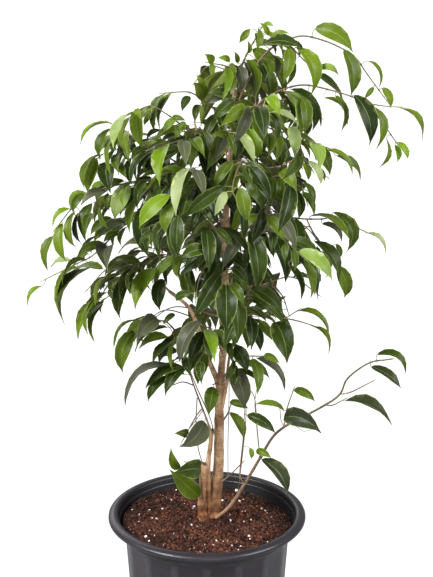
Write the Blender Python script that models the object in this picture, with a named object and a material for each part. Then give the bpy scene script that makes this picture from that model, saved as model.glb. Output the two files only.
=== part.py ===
"""A weeping fig in its nursery pot: fluted plastic pot, potting soil, woody trunk and leafy stems.

Metres, +Z up. The origin is the middle of the pot's base, on the ground, and the viewer stands on the -Y
side. Each leafy stem is one solid: its twigs with all of its leaves. Twigs and leaves that show from the
front have places read by eye in a picture 433 points wide and 577 high, each as (across, down, depth),
where depth is the distance in metres behind the pot's middle. The other leaves follow a rule."""

import itertools
import math
from collections import namedtuple

import bpy
import numpy as np
from mathutils import Vector
from mathutils.bvhtree import BVHTree
from mathutils.geometry import intersect_ray_tri

# Pot: a nursery pot about 280 mm across its rim
POT_HEIGHT = 0.246
RIM_RADIUS = 0.1412
RIM_CROWN_RADIUS = 0.1345
LIP_HEIGHT = 0.009
MOUTH_RADIUS = 0.1272
COLLAR_RADIUS = 0.1245
COLLAR_HEIGHT = 0.015
STEP_HEIGHT = 0.003
BODY_TOP_RADIUS = 0.1180
BASE_RADIUS = 0.1030
BASE_ROUND = 0.004
LIP_LOW = POT_HEIGHT - LIP_HEIGHT
COLLAR_LOW = LIP_LOW - COLLAR_HEIGHT
WALL = 0.0025
POT_SEGMENTS = 32
FLUTE_DEPTH = 0.0012

# Soil
SOIL_LEVEL = 0.2240
SOIL_LOWEST = 0.2235
SOIL_SLOPE = 0.055
SOIL_RISE_TO_BACK = 0.030
SOIL_MOUND = 0.0065
SOIL_MOUND_WIDTH = 0.045
SOIL_WAVE = 0.0012
SOIL_MARGIN = 0.0012
SOIL_SEGMENTS = 32
GAP = 0.0003

# Root crown, which stands in a plain hole in the soil
CROWN_CENTRE = (0.0035, 0.0150)
CROWN_RADIUS = 0.0200
CROWN_SIDES = 16
CROWN_BOTTOM = 0.165
CROWN_TOP = 0.2290

# Twigs
MAIN_STEP = 0.036
SIDE_STEP = 0.030
TWIG_RADIUS = 0.0017
SIDE_TWIG_RADIUS = 0.0014
SKEW = (0.31, 0.20, 0.93)
BUD_LENGTH = 0.005

# Leaves
KEEL = 0.0010
STALK_RADIUS = 0.0007
STALK_ROOT_RADIUS = 0.0004
STALK_LONGEST = 0.020
STALK_SHORTEST = 0.006
WIDTH_TO_LENGTH = 0.32
SMALL_LEAF = 0.032
CLEARANCE = 0.0005
SEED = 7
SWINGS = (0.0, 1.0, -1.0, 2.0, -2.0, 3.0, -3.0, 4.0, -4.0)
SWING_SHARE = 0.14
DEPTH_SHIFTS = (0.0, -0.007, 0.007, -0.014, 0.014, 0.0, 0.0, -0.007, 0.010, 0.0, 0.010, -0.012)
ROOT_SHIFTS = (0, 0, 0, 0, 0, 1, -1, 2, -2, 4, -4, -3)
FREE_ATTEMPTS = 24
BARE_SHARE = 0.22
ARCH = 0.07
SAG = 0.13
SAG_SPREAD = 0.04
DOUBLED_BACK = -0.40
MITRE_SHARE = 0.80

OLD_GREEN = np.array((0.030, 0.085, 0.014))
YOUNG_GREEN = np.array((0.20, 0.36, 0.035))

# The eye that sees the picture
PICTURE_MIDDLE = (216.5, 288.5)
PICTURE_FOCAL = 1816.0
EYE = np.array((0.0136, -2.351, 1.3967))
EYE_PITCH = math.radians(19.1)
FORWARD = np.array((0.0, math.cos(EYE_PITCH), -math.sin(EYE_PITCH)))
RIGHTWARD = np.array((1.0, 0.0, 0.0))
UPWARD = np.array((0.0, math.sin(EYE_PITCH), math.cos(EYE_PITCH)))
UP = np.array((0.0, 0.0, 1.0))

# Woody stems that grew as one: (across, down, depth, radius) from the base to the end
WOOD_SIDES = {"main": 9, "left_branch": 6, "slim_stem": 5, "second_stem": 6, "stump": 8}
WOOD = {
    "main": [
        (211, 521, 0.015, 0.0135), (214.5, 503, 0.015, 0.0114), (217.5, 484, 0.014, 0.0094),
        (218.7, 465, 0.014, 0.0077), (219, 430, 0.013, 0.0066), (219.6, 400, 0.013, 0.0059),
        (221, 377, 0.013, 0.0056), (222.5, 356, 0.013, 0.0049), (225, 330, 0.013, 0.0045),
        (226, 298, 0.013, 0.0042), (225, 262, 0.012, 0.0039), (225.5, 230, 0.012, 0.0036),
        (227, 200, 0.012, 0.0033), (229, 170, 0.012, 0.0030), (231, 140, 0.012, 0.0026),
        (232, 114, 0.012, 0.0022), (233, 99, 0.009, 0.0018),
    ],
    "left_branch": [
        (219.5, 388, 0.012, 0.0040), (215.5, 376, 0.010, 0.0038), (209, 361, 0.008, 0.0034),
        (204, 345, 0.006, 0.0031), (196, 322, 0.003, 0.0028), (187.5, 306, 0.000, 0.0025),
        (169, 291, -0.003, 0.0020),
    ],
    "slim_stem": [
        (220, 418, 0.008, 0.0018), (223.5, 402, 0.005, 0.0022), (226.5, 384, 0.004, 0.0021),
        (228, 366, 0.003, 0.0019), (231, 346, 0.001, 0.0017),
    ],
    "second_stem": [
        (209, 505, 0.006, 0.0040), (208, 466, 0.003, 0.0035), (210, 448, 0.003, 0.0031),
        (212, 430, 0.002, 0.0028),
    ],
    "stump": [
        (204, 521, 0.006, 0.0075), (202, 500, 0.003, 0.0060), (203, 480, 0.001, 0.0052),
        (204, 464, 0.000, 0.0046),
    ],
}

# Leafy stems that show from the front. twigs: the first leaves the trunk, the others leave the first.
# leaves: (across and down at the blade's base, across and down at its tip, width seen), in picture points,
# and for a leaf that bends less or the other way, the share of the usual bend.
# free: how many more leaves the rule adds. tint: 0 is old dark green, 1 is young yellow-green.
FRONT_STEMS = {
    "crown_tip_stem": {
        "twigs": [
            [(232.5, 106, 0.011), (234, 93, 0.007), (238, 77, 0.002), (245, 58, -0.004), (253, 43, -0.009),
             (262, 27, -0.012)],
            [(238, 77, 0.002), (228, 67, -0.006), (210, 63, -0.012)],
        ],
        "leaves": [
            (250, 29, 239, 43, 8, -1.6), (264, 25, 274, 27, 5), (268, 35, 259, 22, 6),
            (256, 33, 256, 47, 7), (248, 53, 247, 40, 5), (252, 49, 277, 75, 14, 0.7),
            (258, 61, 267, 113, 15), (238, 66, 241, 92, 12), (244, 62, 253, 97, 9), (211, 64, 204, 54, 8),
            (230, 61, 217, 58, 6), (231, 66, 233, 80, 7), (237, 63, 234, 51, 5),
        ],
        "free": 3, "tint": 0.6,
    },
    "top_arch_stem": {
        "twigs": [
            [(231.8, 120, 0.012), (241, 96, -0.008), (255, 68, -0.019), (268, 51, -0.025), (285, 41, -0.032),
             (302, 36, -0.038), (322, 40, -0.042), (341, 48, -0.044), (356, 58, -0.044), (367, 74, -0.042),
             (387, 101, -0.040)],
            [(285, 41, -0.032), (298, 54, -0.047), (316, 73, -0.060)],
        ],
        "leaves": [
            (264, 44, 305, 50, 12), (279, 45, 258, 47, 7), (272, 38, 293, 34, 4), (273, 56, 284, 76, 8),
            (315, 29, 353, 53, 16), (344, 50, 350, 98, 14), (369, 61, 379, 88, 5), (374, 87, 364, 99, 5),
            (382, 88, 390, 109, 8, 1.5), (295, 47, 309, 98, 14, 1.3), (273, 68, 281, 101, 11),
            (316, 74, 342, 112, 11), (318, 69, 342, 77, 7, 1.5), (288, 56, 286, 86, 8),
            (282, 49, 284, 62, 5),
        ],
        "free": 2, "tint": 0.5,
    },
    "upper_right_stem": {
        "twigs": [
            [(231, 140, 0.012), (247, 116, -0.012), (265, 99, -0.030), (284, 89, -0.045), (305, 85, -0.056),
             (330, 90, -0.064), (350, 96, -0.068), (368, 103, -0.070), (384, 106, -0.070), (399, 107, -0.068)],
            [(368, 103, -0.070), (379, 118, -0.076), (396, 142, -0.078)],
        ],
        "leaves": [
            (354, 95, 369, 147, 17), (374, 106, 375, 151, 10), (386, 138, 376, 170, 5, 1.4),
            (397, 142, 408, 160, 7), (395, 145, 397, 164, 5), (400, 108, 422, 142, 7),
            (290, 89, 321, 128, 9), (309, 101, 312, 131, 7), (288, 92, 306, 125, 13),
            (303, 100, 304, 135, 10), (284, 95, 287, 130, 8), (324, 98, 347, 127, 6),
            (335, 95, 341, 132, 7),
        ],
        "free": 4, "tint": 0.4,
    },
    "right_shoulder_stem": {
        "twigs": [
            [(229.5, 166, 0.012), (246, 148, -0.020), (262, 137, -0.050), (280, 132, -0.078),
             (298, 136, -0.095), (333, 150, -0.110)],
            [(298, 136, -0.095), (302, 152, -0.108), (311, 168, -0.116)],
        ],
        "leaves": [
            (290, 127, 294, 158, 14), (277, 136, 281, 168, 13), (298, 147, 298, 173, 8),
            (312, 143, 330, 176, 13), (327, 150, 353, 175, 7), (336, 156, 360, 182, 5),
            (304, 140, 316, 162, 6), (308, 161, 321, 187, 8), (314, 167, 324, 182, 4),
            (303, 163, 308, 182, 6),
        ],
        "free": 4, "tint": 0.35,
    },
    "right_centre_stem": {
        "twigs": [
            [(225.7, 224, 0.012), (244, 199, -0.035), (262, 183, -0.080), (280, 176, -0.115),
             (304, 189, -0.142)],
            [(262, 183, -0.080), (266, 198, -0.115), (268, 222, -0.145)],
        ],
        "leaves": [
            (281, 171, 297, 192, 14), (296, 190, 298, 221, 9), (302, 192, 314, 216, 8),
            (303, 182, 314, 208, 7), (282, 191, 292, 221, 10), (272, 203, 284, 217, 8),
            (271, 214, 296, 250, 14), (268, 217, 284, 241, 10), (258, 214, 241, 231, 8),
        ],
        "free": 4, "tint": 0.2,
    },
    "right_outer_stem": {
        "twigs": [
            [(225, 262, 0.012), (244, 238, -0.008), (264, 223, -0.026), (286, 218, -0.040),
             (306, 219, -0.050), (322, 219, -0.056), (336, 218, -0.060), (364, 231, -0.062)],
            [(306, 219, -0.050), (315, 235, -0.062), (336, 262, -0.072)],
        ],
        "leaves": [
            (309, 217, 350, 240, 8), (333, 212, 343, 256, 13, 1.8), (322, 224, 342, 243, 7),
            (336, 244, 341, 258, 5), (366, 233, 386, 256, 5), (298, 227, 305, 248, 6),
            (314, 241, 339, 283, 12), (337, 266, 344, 298, 14),
        ],
        "free": 5, "tint": 0.35,
    },
    "right_front_stem": {
        "twigs": [
            [(226, 294, 0.013), (240, 264, -0.040), (255, 240, -0.090), (268, 230, -0.125),
             (283, 239, -0.145), (305, 259, -0.158)],
            [(255, 240, -0.090), (252, 231, -0.125), (250, 228, -0.145)],
        ],
        "leaves": [
            (299, 251, 333, 282, 15), (304, 261, 310, 299, 9), (306, 263, 320, 305, 7),
            (287, 267, 301, 300, 8), (273, 236, 285, 283, 15), (250, 231, 256, 292, 20),
        ],
        "free": 4, "tint": 0.3,
    },
    "right_low_stem": {
        "twigs": [
            [(224, 340, 0.013), (237, 323, -0.010), (252, 314, -0.030), (270, 315, -0.045),
             (284, 318, -0.052), (297, 311, -0.056)],
            [(284, 318, -0.052), (298, 321, -0.056), (311, 325, -0.058)],
            [(237, 323, -0.010), (243, 302, -0.050), (250, 289, -0.075)],
        ],
        "leaves": [
            (275, 322, 287, 364, 22), (299, 311, 329, 336, 6), (312, 326, 328, 355, 5),
            (259, 321, 272, 341, 10), (252, 322, 260, 352, 12), (242, 321, 247, 349, 12),
            (251, 288, 284, 315, 12),
        ],
        "free": 5, "tint": 0.2,
    },
    "right_inner_low_stem": {
        "twigs": [
            [(221, 384, 0.012), (231, 366, -0.012), (243, 357, -0.027), (262, 356, -0.040)],
        ],
        "leaves": [
            (264, 356, 280, 364, 8), (256, 358, 285, 391, 9), (231, 367, 244, 410, 18),
            (232, 343, 247, 374, 14),
        ],
        "free": 2, "tint": 0.2,
    },
    "centre_top_stem": {
        "twigs": [
            [(230, 152, 0.012), (236, 131, -0.030), (246, 114, -0.065), (256, 106, -0.090),
             (268, 113, -0.112)],
            [(236, 131, -0.030), (231, 131, -0.065), (224, 134, -0.090)],
        ],
        "leaves": [
            (228, 138, 211, 134, 8), (238, 107, 252, 130, 11), (258, 108, 264, 143, 16),
            (268, 112, 275, 143, 10), (250, 129, 257, 161, 14), (259, 131, 260, 151, 8),
            (236, 140, 253, 165, 16), (270, 92, 280, 117, 13),
        ],
        "free": 5, "tint": 0.3,
    },
    "centre_front_stem": {
        "twigs": [
            [(226.5, 208, 0.012), (232, 183, -0.030), (238, 166, -0.080), (241, 162, -0.118),
             (236, 174, -0.145), (233, 192, -0.158), (245, 212, -0.166)],
        ],
        "leaves": [
            (241, 165, 262, 215, 18), (250, 166, 272, 206, 15), (229, 173, 232, 206, 9),
            (231, 195, 228, 238, 9), (242, 210, 243, 238, 10), (240, 188, 246, 223, 14),
            (239, 172, 243, 186, 6),
        ],
        "free": 3, "tint": 0.35,
    },
    "centre_low_stem": {
        "twigs": [
            [(225.5, 276, 0.012), (221, 249, -0.045), (217, 233, -0.095), (211, 228, -0.130),
             (204, 246, -0.165)],
            [(221, 249, -0.045), (226, 259, -0.090), (226, 282, -0.138)],
        ],
        "leaves": [
            (206, 230, 209, 273, 16), (210, 229, 216, 266, 12), (205, 250, 180, 259, 14),
            (226, 284, 226, 333, 22), (222, 264, 194, 300, 12), (234, 299, 237, 348, 12),
        ],
        "free": 6, "tint": 0.1,
    },
    "left_centre_stem": {
        "twigs": [
            [(226, 238, 0.012), (214, 198, -0.035), (202, 177, -0.080), (190, 169, -0.115),
             (182, 179, -0.138), (174, 214, -0.158)],
            [(202, 177, -0.080), (200, 191, -0.120), (198, 206, -0.145)],
        ],
        "leaves": [
            (188, 168, 176, 217, 15), (187, 193, 181, 216, 8), (199, 210, 192, 231, 8),
            (178, 216, 178, 258, 15), (171, 232, 176, 268, 9), (173, 183, 165, 216, 12),
            (174, 203, 165, 235, 10), (164, 210, 153, 240, 10),
        ],
        "free": 4, "tint": 0.3,
    },
    "trunk_front_stem": {
        "twigs": [
            [(222.5, 354, 0.013), (216, 337, -0.022), (209, 328, -0.038), (198, 326, -0.050)],
        ],
        "leaves": [
            (211, 332, 211, 363, 16), (203, 331, 190, 362, 14), (200, 321, 180, 363, 14),
            (206, 354, 198, 385, 13),
        ],
        "free": 2, "tint": 0.4,
    },
    "trunk_bud_leaf": {
        "twigs": [[(219.5, 386, 0.013), (217.5, 383, 0.000), (214, 384, -0.010)]],
        "leaves": [(214, 386, 209, 415, 14)],
        "free": 0, "tint": 0.7,
    },
    "top_left_stem": {
        "twigs": [
            [(230.5, 148, 0.012), (222, 119, -0.006), (212, 107, -0.016), (200, 98, -0.023),
             (188, 92, -0.028), (165, 93, -0.034)],
            [(222, 119, -0.006), (226, 105, -0.024), (234, 98, -0.040)],
        ],
        "leaves": [
            (204, 88, 196, 74, 6), (203, 100, 193, 83, 14), (231, 97, 207, 93, 10),
            (234, 100, 212, 121, 12), (225, 95, 205, 105, 9), (200, 105, 195, 123, 9),
            (190, 96, 182, 112, 8), (163, 96, 156, 126, 10), (173, 92, 160, 131, 7),
        ],
        "free": 4, "tint": 0.3,
    },
    "left_shoulder_stem": {
        "twigs": [
            [(228.5, 182, 0.012), (212, 157, -0.020), (196, 138, -0.045), (180, 124, -0.062),
             (165, 113, -0.075), (150, 106, -0.082), (132, 113, -0.088)],
            [(196, 138, -0.045), (182, 140, -0.078), (151, 149, -0.100)],
        ],
        "leaves": [
            (151, 113, 144, 126, 6), (181, 148, 148, 165, 12), (197, 138, 189, 167, 8),
            (186, 123, 175, 140, 9), (176, 119, 163, 134, 8), (172, 118, 186, 121, 6),
            (138, 108, 143, 149, 13), (130, 117, 126, 153, 8), (146, 146, 161, 140, 6),
            (148, 153, 131, 185, 8), (153, 153, 139, 182, 8), (203, 131, 216, 171, 15),
            (199, 139, 208, 183, 14),
        ],
        "free": 4, "tint": 0.4,
    },
    "left_high_stem": {
        "twigs": [
            [(227, 216, 0.012), (204, 185, 0.000), (180, 165, -0.014), (156, 150, -0.026),
             (136, 140, -0.034), (122, 140, -0.038), (98, 158, -0.044)],
            [(136, 140, -0.034), (124, 131, -0.040), (110, 123, -0.044)],
        ],
        "leaves": [
            (109, 123, 80, 146, 4), (112, 128, 102, 163, 9), (118, 137, 113, 154, 7),
            (97, 158, 88, 194, 15), (116, 149, 111, 171, 6), (124, 148, 131, 162, 5),
            (108, 163, 111, 194, 17), (132, 143, 139, 157, 8), (132, 158, 133, 186, 9),
        ],
        "free": 5, "tint": 0.4,
    },
    "left_mid_stem": {
        "twigs": [
            [(225.7, 246, 0.012), (204, 213, -0.008), (180, 194, -0.026), (158, 181, -0.040),
             (138, 181, -0.050), (118, 185, -0.056), (98, 190, -0.060), (80, 199, -0.062),
             (56, 228, -0.062)],
            [(158, 181, -0.040), (150, 189, -0.055), (142, 204, -0.068)],
        ],
        "leaves": [
            (106, 191, 80, 207, 9), (84, 194, 73, 213, 9), (70, 209, 52, 228, 4), (130, 184, 115, 221, 16),
            (108, 193, 110, 211, 6), (75, 212, 78, 250, 9), (62, 223, 67, 262, 11), (53, 236, 48, 271, 9),
            (80, 212, 83, 246, 6), (92, 203, 86, 242, 11), (150, 185, 131, 236, 14),
            (157, 197, 137, 232, 4), (160, 181, 152, 197, 5), (166, 178, 140, 178, 6),
            (142, 207, 149, 258, 18),
        ],
        "free": 4, "tint": 0.45,
    },
    "left_outer_stem": {
        "twigs": [
            [(225, 272, 0.012), (200, 241, 0.004), (174, 225, -0.006), (150, 219, -0.014),
             (128, 223, -0.020), (108, 241, -0.024), (92, 256, -0.026), (76, 264, -0.028),
             (46, 279, -0.028)],
            [(200, 241, 0.004), (193, 256, -0.014), (184, 266, -0.020)],
        ],
        "leaves": [
            (187, 266, 193, 304, 16), (179, 259, 178, 278, 6), (106, 212, 90, 236, 10),
            (114, 227, 94, 243, 10), (126, 223, 98, 240, 8), (105, 245, 76, 261, 10),
            (110, 248, 108, 273, 20), (127, 226, 123, 249, 5), (42, 286, 28, 308, 5),
            (77, 266, 57, 297, 6), (90, 268, 66, 328, 10), (118, 233, 103, 243, 7),
        ],
        "free": 6, "tint": 0.45,
    },
    "left_low_stem": {
        "twigs": [
            [(172, 293.5, -0.0025), (154, 277, -0.012), (140, 268, -0.018), (126, 266, -0.022),
             (114, 276, -0.026), (98, 301, -0.030)],
        ],
        "leaves": [
            (116, 278, 91, 304, 9), (104, 302, 78, 341, 12), (103, 305, 95, 343, 7),
            (136, 273, 121, 321, 14), (155, 268, 135, 311, 12), (163, 279, 160, 311, 14),
        ],
        "free": 5, "tint": 0.25,
    },
    "left_branch_stem": {
        "twigs": [
            [(204, 346, 0.006), (191, 338, -0.014), (178, 333, -0.028), (164, 321, -0.042),
             (140, 321, -0.058)],
        ],
        "leaves": [
            (139, 320, 112, 351, 7), (134, 331, 123, 373, 17), (158, 319, 136, 342, 17),
            (168, 337, 138, 350, 9), (172, 341, 152, 367, 7), (176, 313, 163, 325, 6),
        ],
        "free": 4, "tint": 0.3,
    },
    "left_sprout_stem": {
        "twigs": [
            [(211.5, 432, 0.000), (205, 415, -0.006), (200, 402, -0.008), (194, 386, -0.014),
             (188, 368, -0.020), (182, 356, -0.024)],
            [(194, 386, -0.014), (183, 382, -0.022), (173, 385, -0.028)],
            [(202, 407, -0.006), (195, 418, -0.014), (183, 440, -0.022)],
        ],
        "leaves": [
            (183, 366, 145, 389, 10), (168, 365, 125, 407, 8, 1.5), (170, 378, 148, 403, 10),
            (186, 368, 165, 397, 9), (187, 435, 174, 434, 10),
            (204, 421, 179, 447, 22, -1.0),
        ],
        "free": 1, "tint": 0.2,
    },
    "base_left_stem": {
        "twigs": [
            [(205, 503, 0.003), (202, 491, -0.010), (201, 478, -0.017), (197, 468, -0.022),
             (188, 463, -0.025)],
        ],
        "leaves": [(199, 497, 169, 469, 18, 0.1), (201, 470, 173, 473, 19, 0.4), (180, 468, 171, 447, 10)],
        "free": 0, "tint": 0.2,
    },
    "low_right_stem": {
        "twigs": [
            [(214, 519, 0.006), (229, 507, -0.002), (244.5, 484, -0.010), (260, 458, -0.016),
             (272, 438, -0.022), (284, 427, -0.026), (297, 420, -0.028), (325, 405, -0.032),
             (340, 394, -0.034), (348, 378, -0.036), (369, 363, -0.038),
             (388, 359.5, -0.040)],
            [(340, 394, -0.034), (351, 392, -0.038), (371, 382, -0.042)],
            [(325, 405, -0.032), (333, 405, -0.038), (343, 400, -0.042)],
            [(284, 427, -0.026), (287, 409, -0.032), (293, 391, -0.034)],
            [(244, 484, -0.010), (240, 476, -0.018), (241, 460, -0.023), (243, 440, -0.027),
             (244.4, 414, -0.030)],
        ],
        "leaves": [
            (294, 390, 315, 402, 10), (284, 411, 253, 405, 6), (247, 415, 276, 434, 12),
            (284, 418, 322, 434, 20), (344, 401, 393, 427, 10, 0.52), (377, 355, 406, 375, 8, 1.5),
            (371, 366, 402, 390, 9, 0.4), (261, 459, 288, 497, 15, 0.8),
            (256, 452, 272, 459, 8), (250, 448, 251, 459, 5),
        ],
        "free": 0, "tint": 0.3,
    },
    "trunk_right_sprig": {
        "twigs": [[(222, 422, 0.010), (228, 413, -0.006), (231, 404, -0.012)]],
        "leaves": [(229, 412, 244, 442, 9), (230, 402, 249, 409, 8)],
        "free": 0, "tint": 0.3,
    },
}

# Leafy stems that the rule lays out behind: height on the trunk (picture points down), compass angle with
# 0 to the right and 90 to the back, reach, rise of the arch, fall of its end below the start, length of its
# side twigs, in metres, and how many leaves the rule adds. A side twig below zero leaves on the other side.
BACK_STEMS = {
    "back_crown_stem": (122, 98, 0.095, 0.055, 0.010, -0.055, 11),
    "back_right_crown_stem": (142, 38, 0.120, 0.055, 0.030, 0.070, 12),
    "back_left_crown_stem": (162, 140, 0.120, 0.040, 0.045, 0.075, 12),
    "back_high_stem": (190, 84, 0.170, 0.065, 0.050, 0.085, 14),
    "back_right_high_stem": (212, 56, 0.190, 0.060, 0.060, 0.080, 14),
    "back_left_high_stem": (230, 124, 0.200, 0.060, 0.060, 0.085, 15),
    "right_side_stem": (250, 14, 0.130, 0.050, 0.060, 0.085, 12),
    "back_left_mid_stem": (284, 154, 0.180, 0.040, 0.060, 0.085, 14),
    "back_mid_stem": (266, 88, 0.215, 0.050, 0.070, 0.085, 16),
    "back_right_low_stem": (316, 52, 0.130, 0.045, 0.050, 0.085, 13),
    "back_low_stem": (346, 112, 0.165, 0.040, 0.065, 0.085, 13),
}
BACK_SWAY = 0.012
BACK_TINTS = (0.15, 0.45)

# Edge of the crown in the picture. The rule's leaves keep inside it.
CROWN_EDGE = np.array([
    (262, 24), (275, 29), (292, 32), (302, 44), (300, 62), (293, 84), (304, 98), (320, 104), (322, 118),
    (308, 128), (302, 138), (326, 146), (336, 160), (326, 172), (308, 172), (300, 180), (316, 188),
    (314, 206), (301, 200), (294, 214), (300, 232), (306, 240), (322, 242), (332, 256), (335, 268),
    (348, 276), (346, 292), (334, 282), (319, 280), (316, 300), (306, 288), (301, 272), (293, 282),
    (282, 262), (275, 268), (285, 300), (286, 316), (293, 328), (292, 345), (288, 362), (278, 350),
    (268, 342), (254, 346), (252, 358), (268, 360), (282, 374), (284, 390), (262, 382), (258, 398),
    (240, 404), (226, 396), (215, 374), (206, 388), (192, 380), (178, 372), (160, 396), (148, 400),
    (140, 392), (124, 405), (128, 384), (148, 370), (158, 354), (170, 344), (150, 346), (130, 362),
    (122, 370), (119, 350), (124, 334), (138, 320), (160, 314), (164, 324), (173, 332), (189, 321),
    (193, 308), (182, 302), (164, 302), (158, 290), (140, 300),
    (121, 318), (114, 302), (105, 308), (96, 340), (84, 336), (77, 324), (82, 308), (96, 294),
    (104, 280), (84, 270), (68, 292), (60, 296), (58, 284), (66, 268), (50, 272), (42, 262), (44, 244),
    (60, 232), (70, 212), (74, 198), (82, 186), (82, 164), (97, 154), (97, 138), (112, 124), (126, 118),
    (140, 108), (152, 100), (168, 90), (164, 112), (162, 122), (186, 122), (196, 128), (199, 112),
    (192, 94), (192, 84), (201, 74), (206, 62), (216, 62), (230, 68), (240, 60), (248, 44), (252, 30),
])

Leaf = namedtuple("Leaf", "root base tip face lift width")
Stem = namedtuple("Stem", "name routes places free tint")


def unit(vector):
    return vector / np.linalg.norm(vector)


def seen(across, down, depth):
    """The point that the picture shows at (across, down) and that lies this deep behind the pot's middle."""
    ray = FORWARD + RIGHTWARD * (across - PICTURE_MIDDLE[0]) / PICTURE_FOCAL
    ray = ray + UPWARD * (PICTURE_MIDDLE[1] - down) / PICTURE_FOCAL
    return EYE + ray * (depth - EYE[1]) / ray[1]


TRUNK_LINE = np.array([seen(*place[:3]) for place in WOOD["main"]])


def pictured(points):
    """Where the picture shows these points."""
    away = np.asarray(points) - EYE
    distance = away @ FORWARD
    across = PICTURE_MIDDLE[0] + PICTURE_FOCAL * (away @ RIGHTWARD) / distance
    down = PICTURE_MIDDLE[1] - PICTURE_FOCAL * (away @ UPWARD) / distance
    return np.stack([across, down], axis=-1)


def smooth_route(points, step):
    """Points about `step` apart on a Catmull-Rom curve through the given ones."""
    points = np.asarray(points, float)
    padded = np.vstack([2 * points[0] - points[1], points, 2 * points[-1] - points[-2]])
    t = np.linspace(0.0, 1.0, 12, endpoint=False)[:, None]
    dense = []
    for a, b, c, d in zip(padded, padded[1:], padded[2:], padded[3:]):
        dense.append(0.5 * (2 * b + (c - a) * t + (2 * a - 5 * b + 4 * c - d) * t**2
                            + (3 * b - a - 3 * c + d) * t**3))
    dense = np.vstack([*dense, points[-1:]])
    along = np.concatenate([[0.0], np.cumsum(np.linalg.norm(np.diff(dense, axis=0), axis=1))])
    count = max(2, int(round(along[-1] / step)) + 1)
    places = np.linspace(0.0, along[-1], count)
    return np.stack([np.interp(places, along, dense[:, axis]) for axis in range(3)], axis=1)


def along_route(route, spacing=0.002):
    """Close points on the straight stretches of a route, with the direction at each."""
    points, directions = [], []
    for start, end in zip(route, route[1:]):
        count = max(1, int(np.linalg.norm(end - start) / spacing))
        for i in range(count):
            points.append(start + (end - start) * i / count)
            directions.append(unit(end - start))
    return np.array(points), np.array(directions)


def material(name, colour, roughness):
    made = bpy.data.materials.new(name)
    made.use_nodes = True
    shader = made.node_tree.nodes["Principled BSDF"]
    shader.inputs["Base Color"].default_value = (*colour, 1.0)
    shader.inputs["Roughness"].default_value = roughness
    made.diffuse_color = (*colour, 1.0)
    return made


def new_object(name, verts, faces, finish=None, collection=None):
    mesh = bpy.data.meshes.new(name)
    mesh.from_pydata([tuple(v) for v in verts], [], [tuple(f) for f in faces])
    mesh.validate()
    if finish:
        mesh.materials.append(finish)
    made = bpy.data.objects.new(name, mesh)
    (collection or bpy.context.scene.collection).objects.link(made)
    return made


def combine(target, tools, operation="UNION"):
    """Joins loose solids to the target, or cuts them from it, as one applied Boolean."""
    group = bpy.data.collections.new("tools")
    for verts, faces in tools:
        new_object("tool", verts, faces, collection=group)
    bpy.context.scene.collection.children.link(group)
    modifier = target.modifiers.new("combine", "BOOLEAN")
    modifier.operation = operation
    modifier.operand_type = "COLLECTION"
    modifier.collection = group
    modifier.solver = "EXACT"
    graph = bpy.context.evaluated_depsgraph_get()
    result = bpy.data.meshes.new_from_object(target.evaluated_get(graph))
    target.modifiers.clear()
    target.data = result
    for tool in list(group.objects):
        bpy.data.objects.remove(tool)
    bpy.data.collections.remove(group)


def tube(route, radii, sides):
    """A tube round a route with a radius for each point, closed by flat faces."""
    route = np.asarray(route)
    tangents = np.gradient(route, axis=0)
    side = np.cross(unit(tangents[0]), SKEW)
    angles = np.arange(sides) * 2 * math.pi / sides
    verts = []
    for point, tangent, radius in zip(route, tangents, radii):
        tangent = unit(tangent)
        side = unit(side - tangent * (side @ tangent))
        other = np.cross(tangent, side)
        verts.extend(point + radius * (math.cos(a) * side + math.sin(a) * other) for a in angles)
    faces = [tuple(range(sides))[::-1]]
    for ring in range(len(route) - 1):
        for k in range(sides):
            a, b = ring * sides + k, ring * sides + (k + 1) % sides
            faces += [(a, b, b + sides), (a, b + sides, a + sides)]
    last = (len(route) - 1) * sides
    faces.append(tuple(range(last, last + sides)))
    return verts, faces


def twig_solid(route, number):
    """A four-sided twig of even thickness that ends in a bud. Its corners are mitred, so its sides are flat."""
    radius = TWIG_RADIUS if number == 0 else SIDE_TWIG_RADIUS
    steps = np.array([unit(step) for step in np.diff(route, axis=0)])
    side = unit(np.cross(steps[0], SKEW))
    other = np.cross(steps[0], side)
    ring = [route[0] + radius * corner for corner in (side, other, -side, -other)]
    verts = list(ring)
    for point, before, after in zip(route[1:], steps, [*steps[1:], steps[-1]]):
        mitre = before + after
        ring = [corner + before * ((point - corner) @ mitre) / (before @ mitre) for corner in ring]
        verts += ring
    verts.append(route[-1] + steps[-1] * BUD_LENGTH)
    faces = [(3, 2, 1, 0)]
    for start in range(0, len(verts) - 5, 4):
        for k in range(4):
            a, b = start + k, start + (k + 1) % 4
            faces.append((a, b, b + 4, a + 4))
    last = len(verts) - 5
    faces += [(last + k, last + (k + 1) % 4, len(verts) - 1) for k in range(4)]
    return verts, faces


def revolved(profile, segments, fluted=()):
    """A closed solid turned round Z from (radius, height) points that start and end on the axis.

    In the rings numbered in `fluted`, every other point is drawn in by the flutes' depth."""
    verts, faces = [], []
    starts = []
    for number, (radius, height) in enumerate(profile):
        starts.append(len(verts))
        if radius == 0.0:
            verts.append((0.0, 0.0, height))
            continue
        for k in range(segments):
            angle = 2 * math.pi * k / segments
            r = radius - (FLUTE_DEPTH if number in fluted and k % 2 else 0.0)
            verts.append((r * math.cos(angle), r * math.sin(angle), height))
    for number in range(len(profile) - 1):
        a, b = starts[number], starts[number + 1]
        for k in range(segments):
            n = (k + 1) % segments
            if profile[number][0] == 0.0:
                faces.append((a, b + n, b + k))
            elif profile[number + 1][0] == 0.0:
                faces.append((a + k, a + n, b))
            else:
                faces.append((a + k, a + n, b + n, b + k))
    return verts, faces


# Pot


def body_radius(height):
    """Radius of the pot's outer wall under the collar, which tapers to the base."""
    return BASE_RADIUS + (BODY_TOP_RADIUS - BASE_RADIUS) * height / COLLAR_LOW


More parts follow.
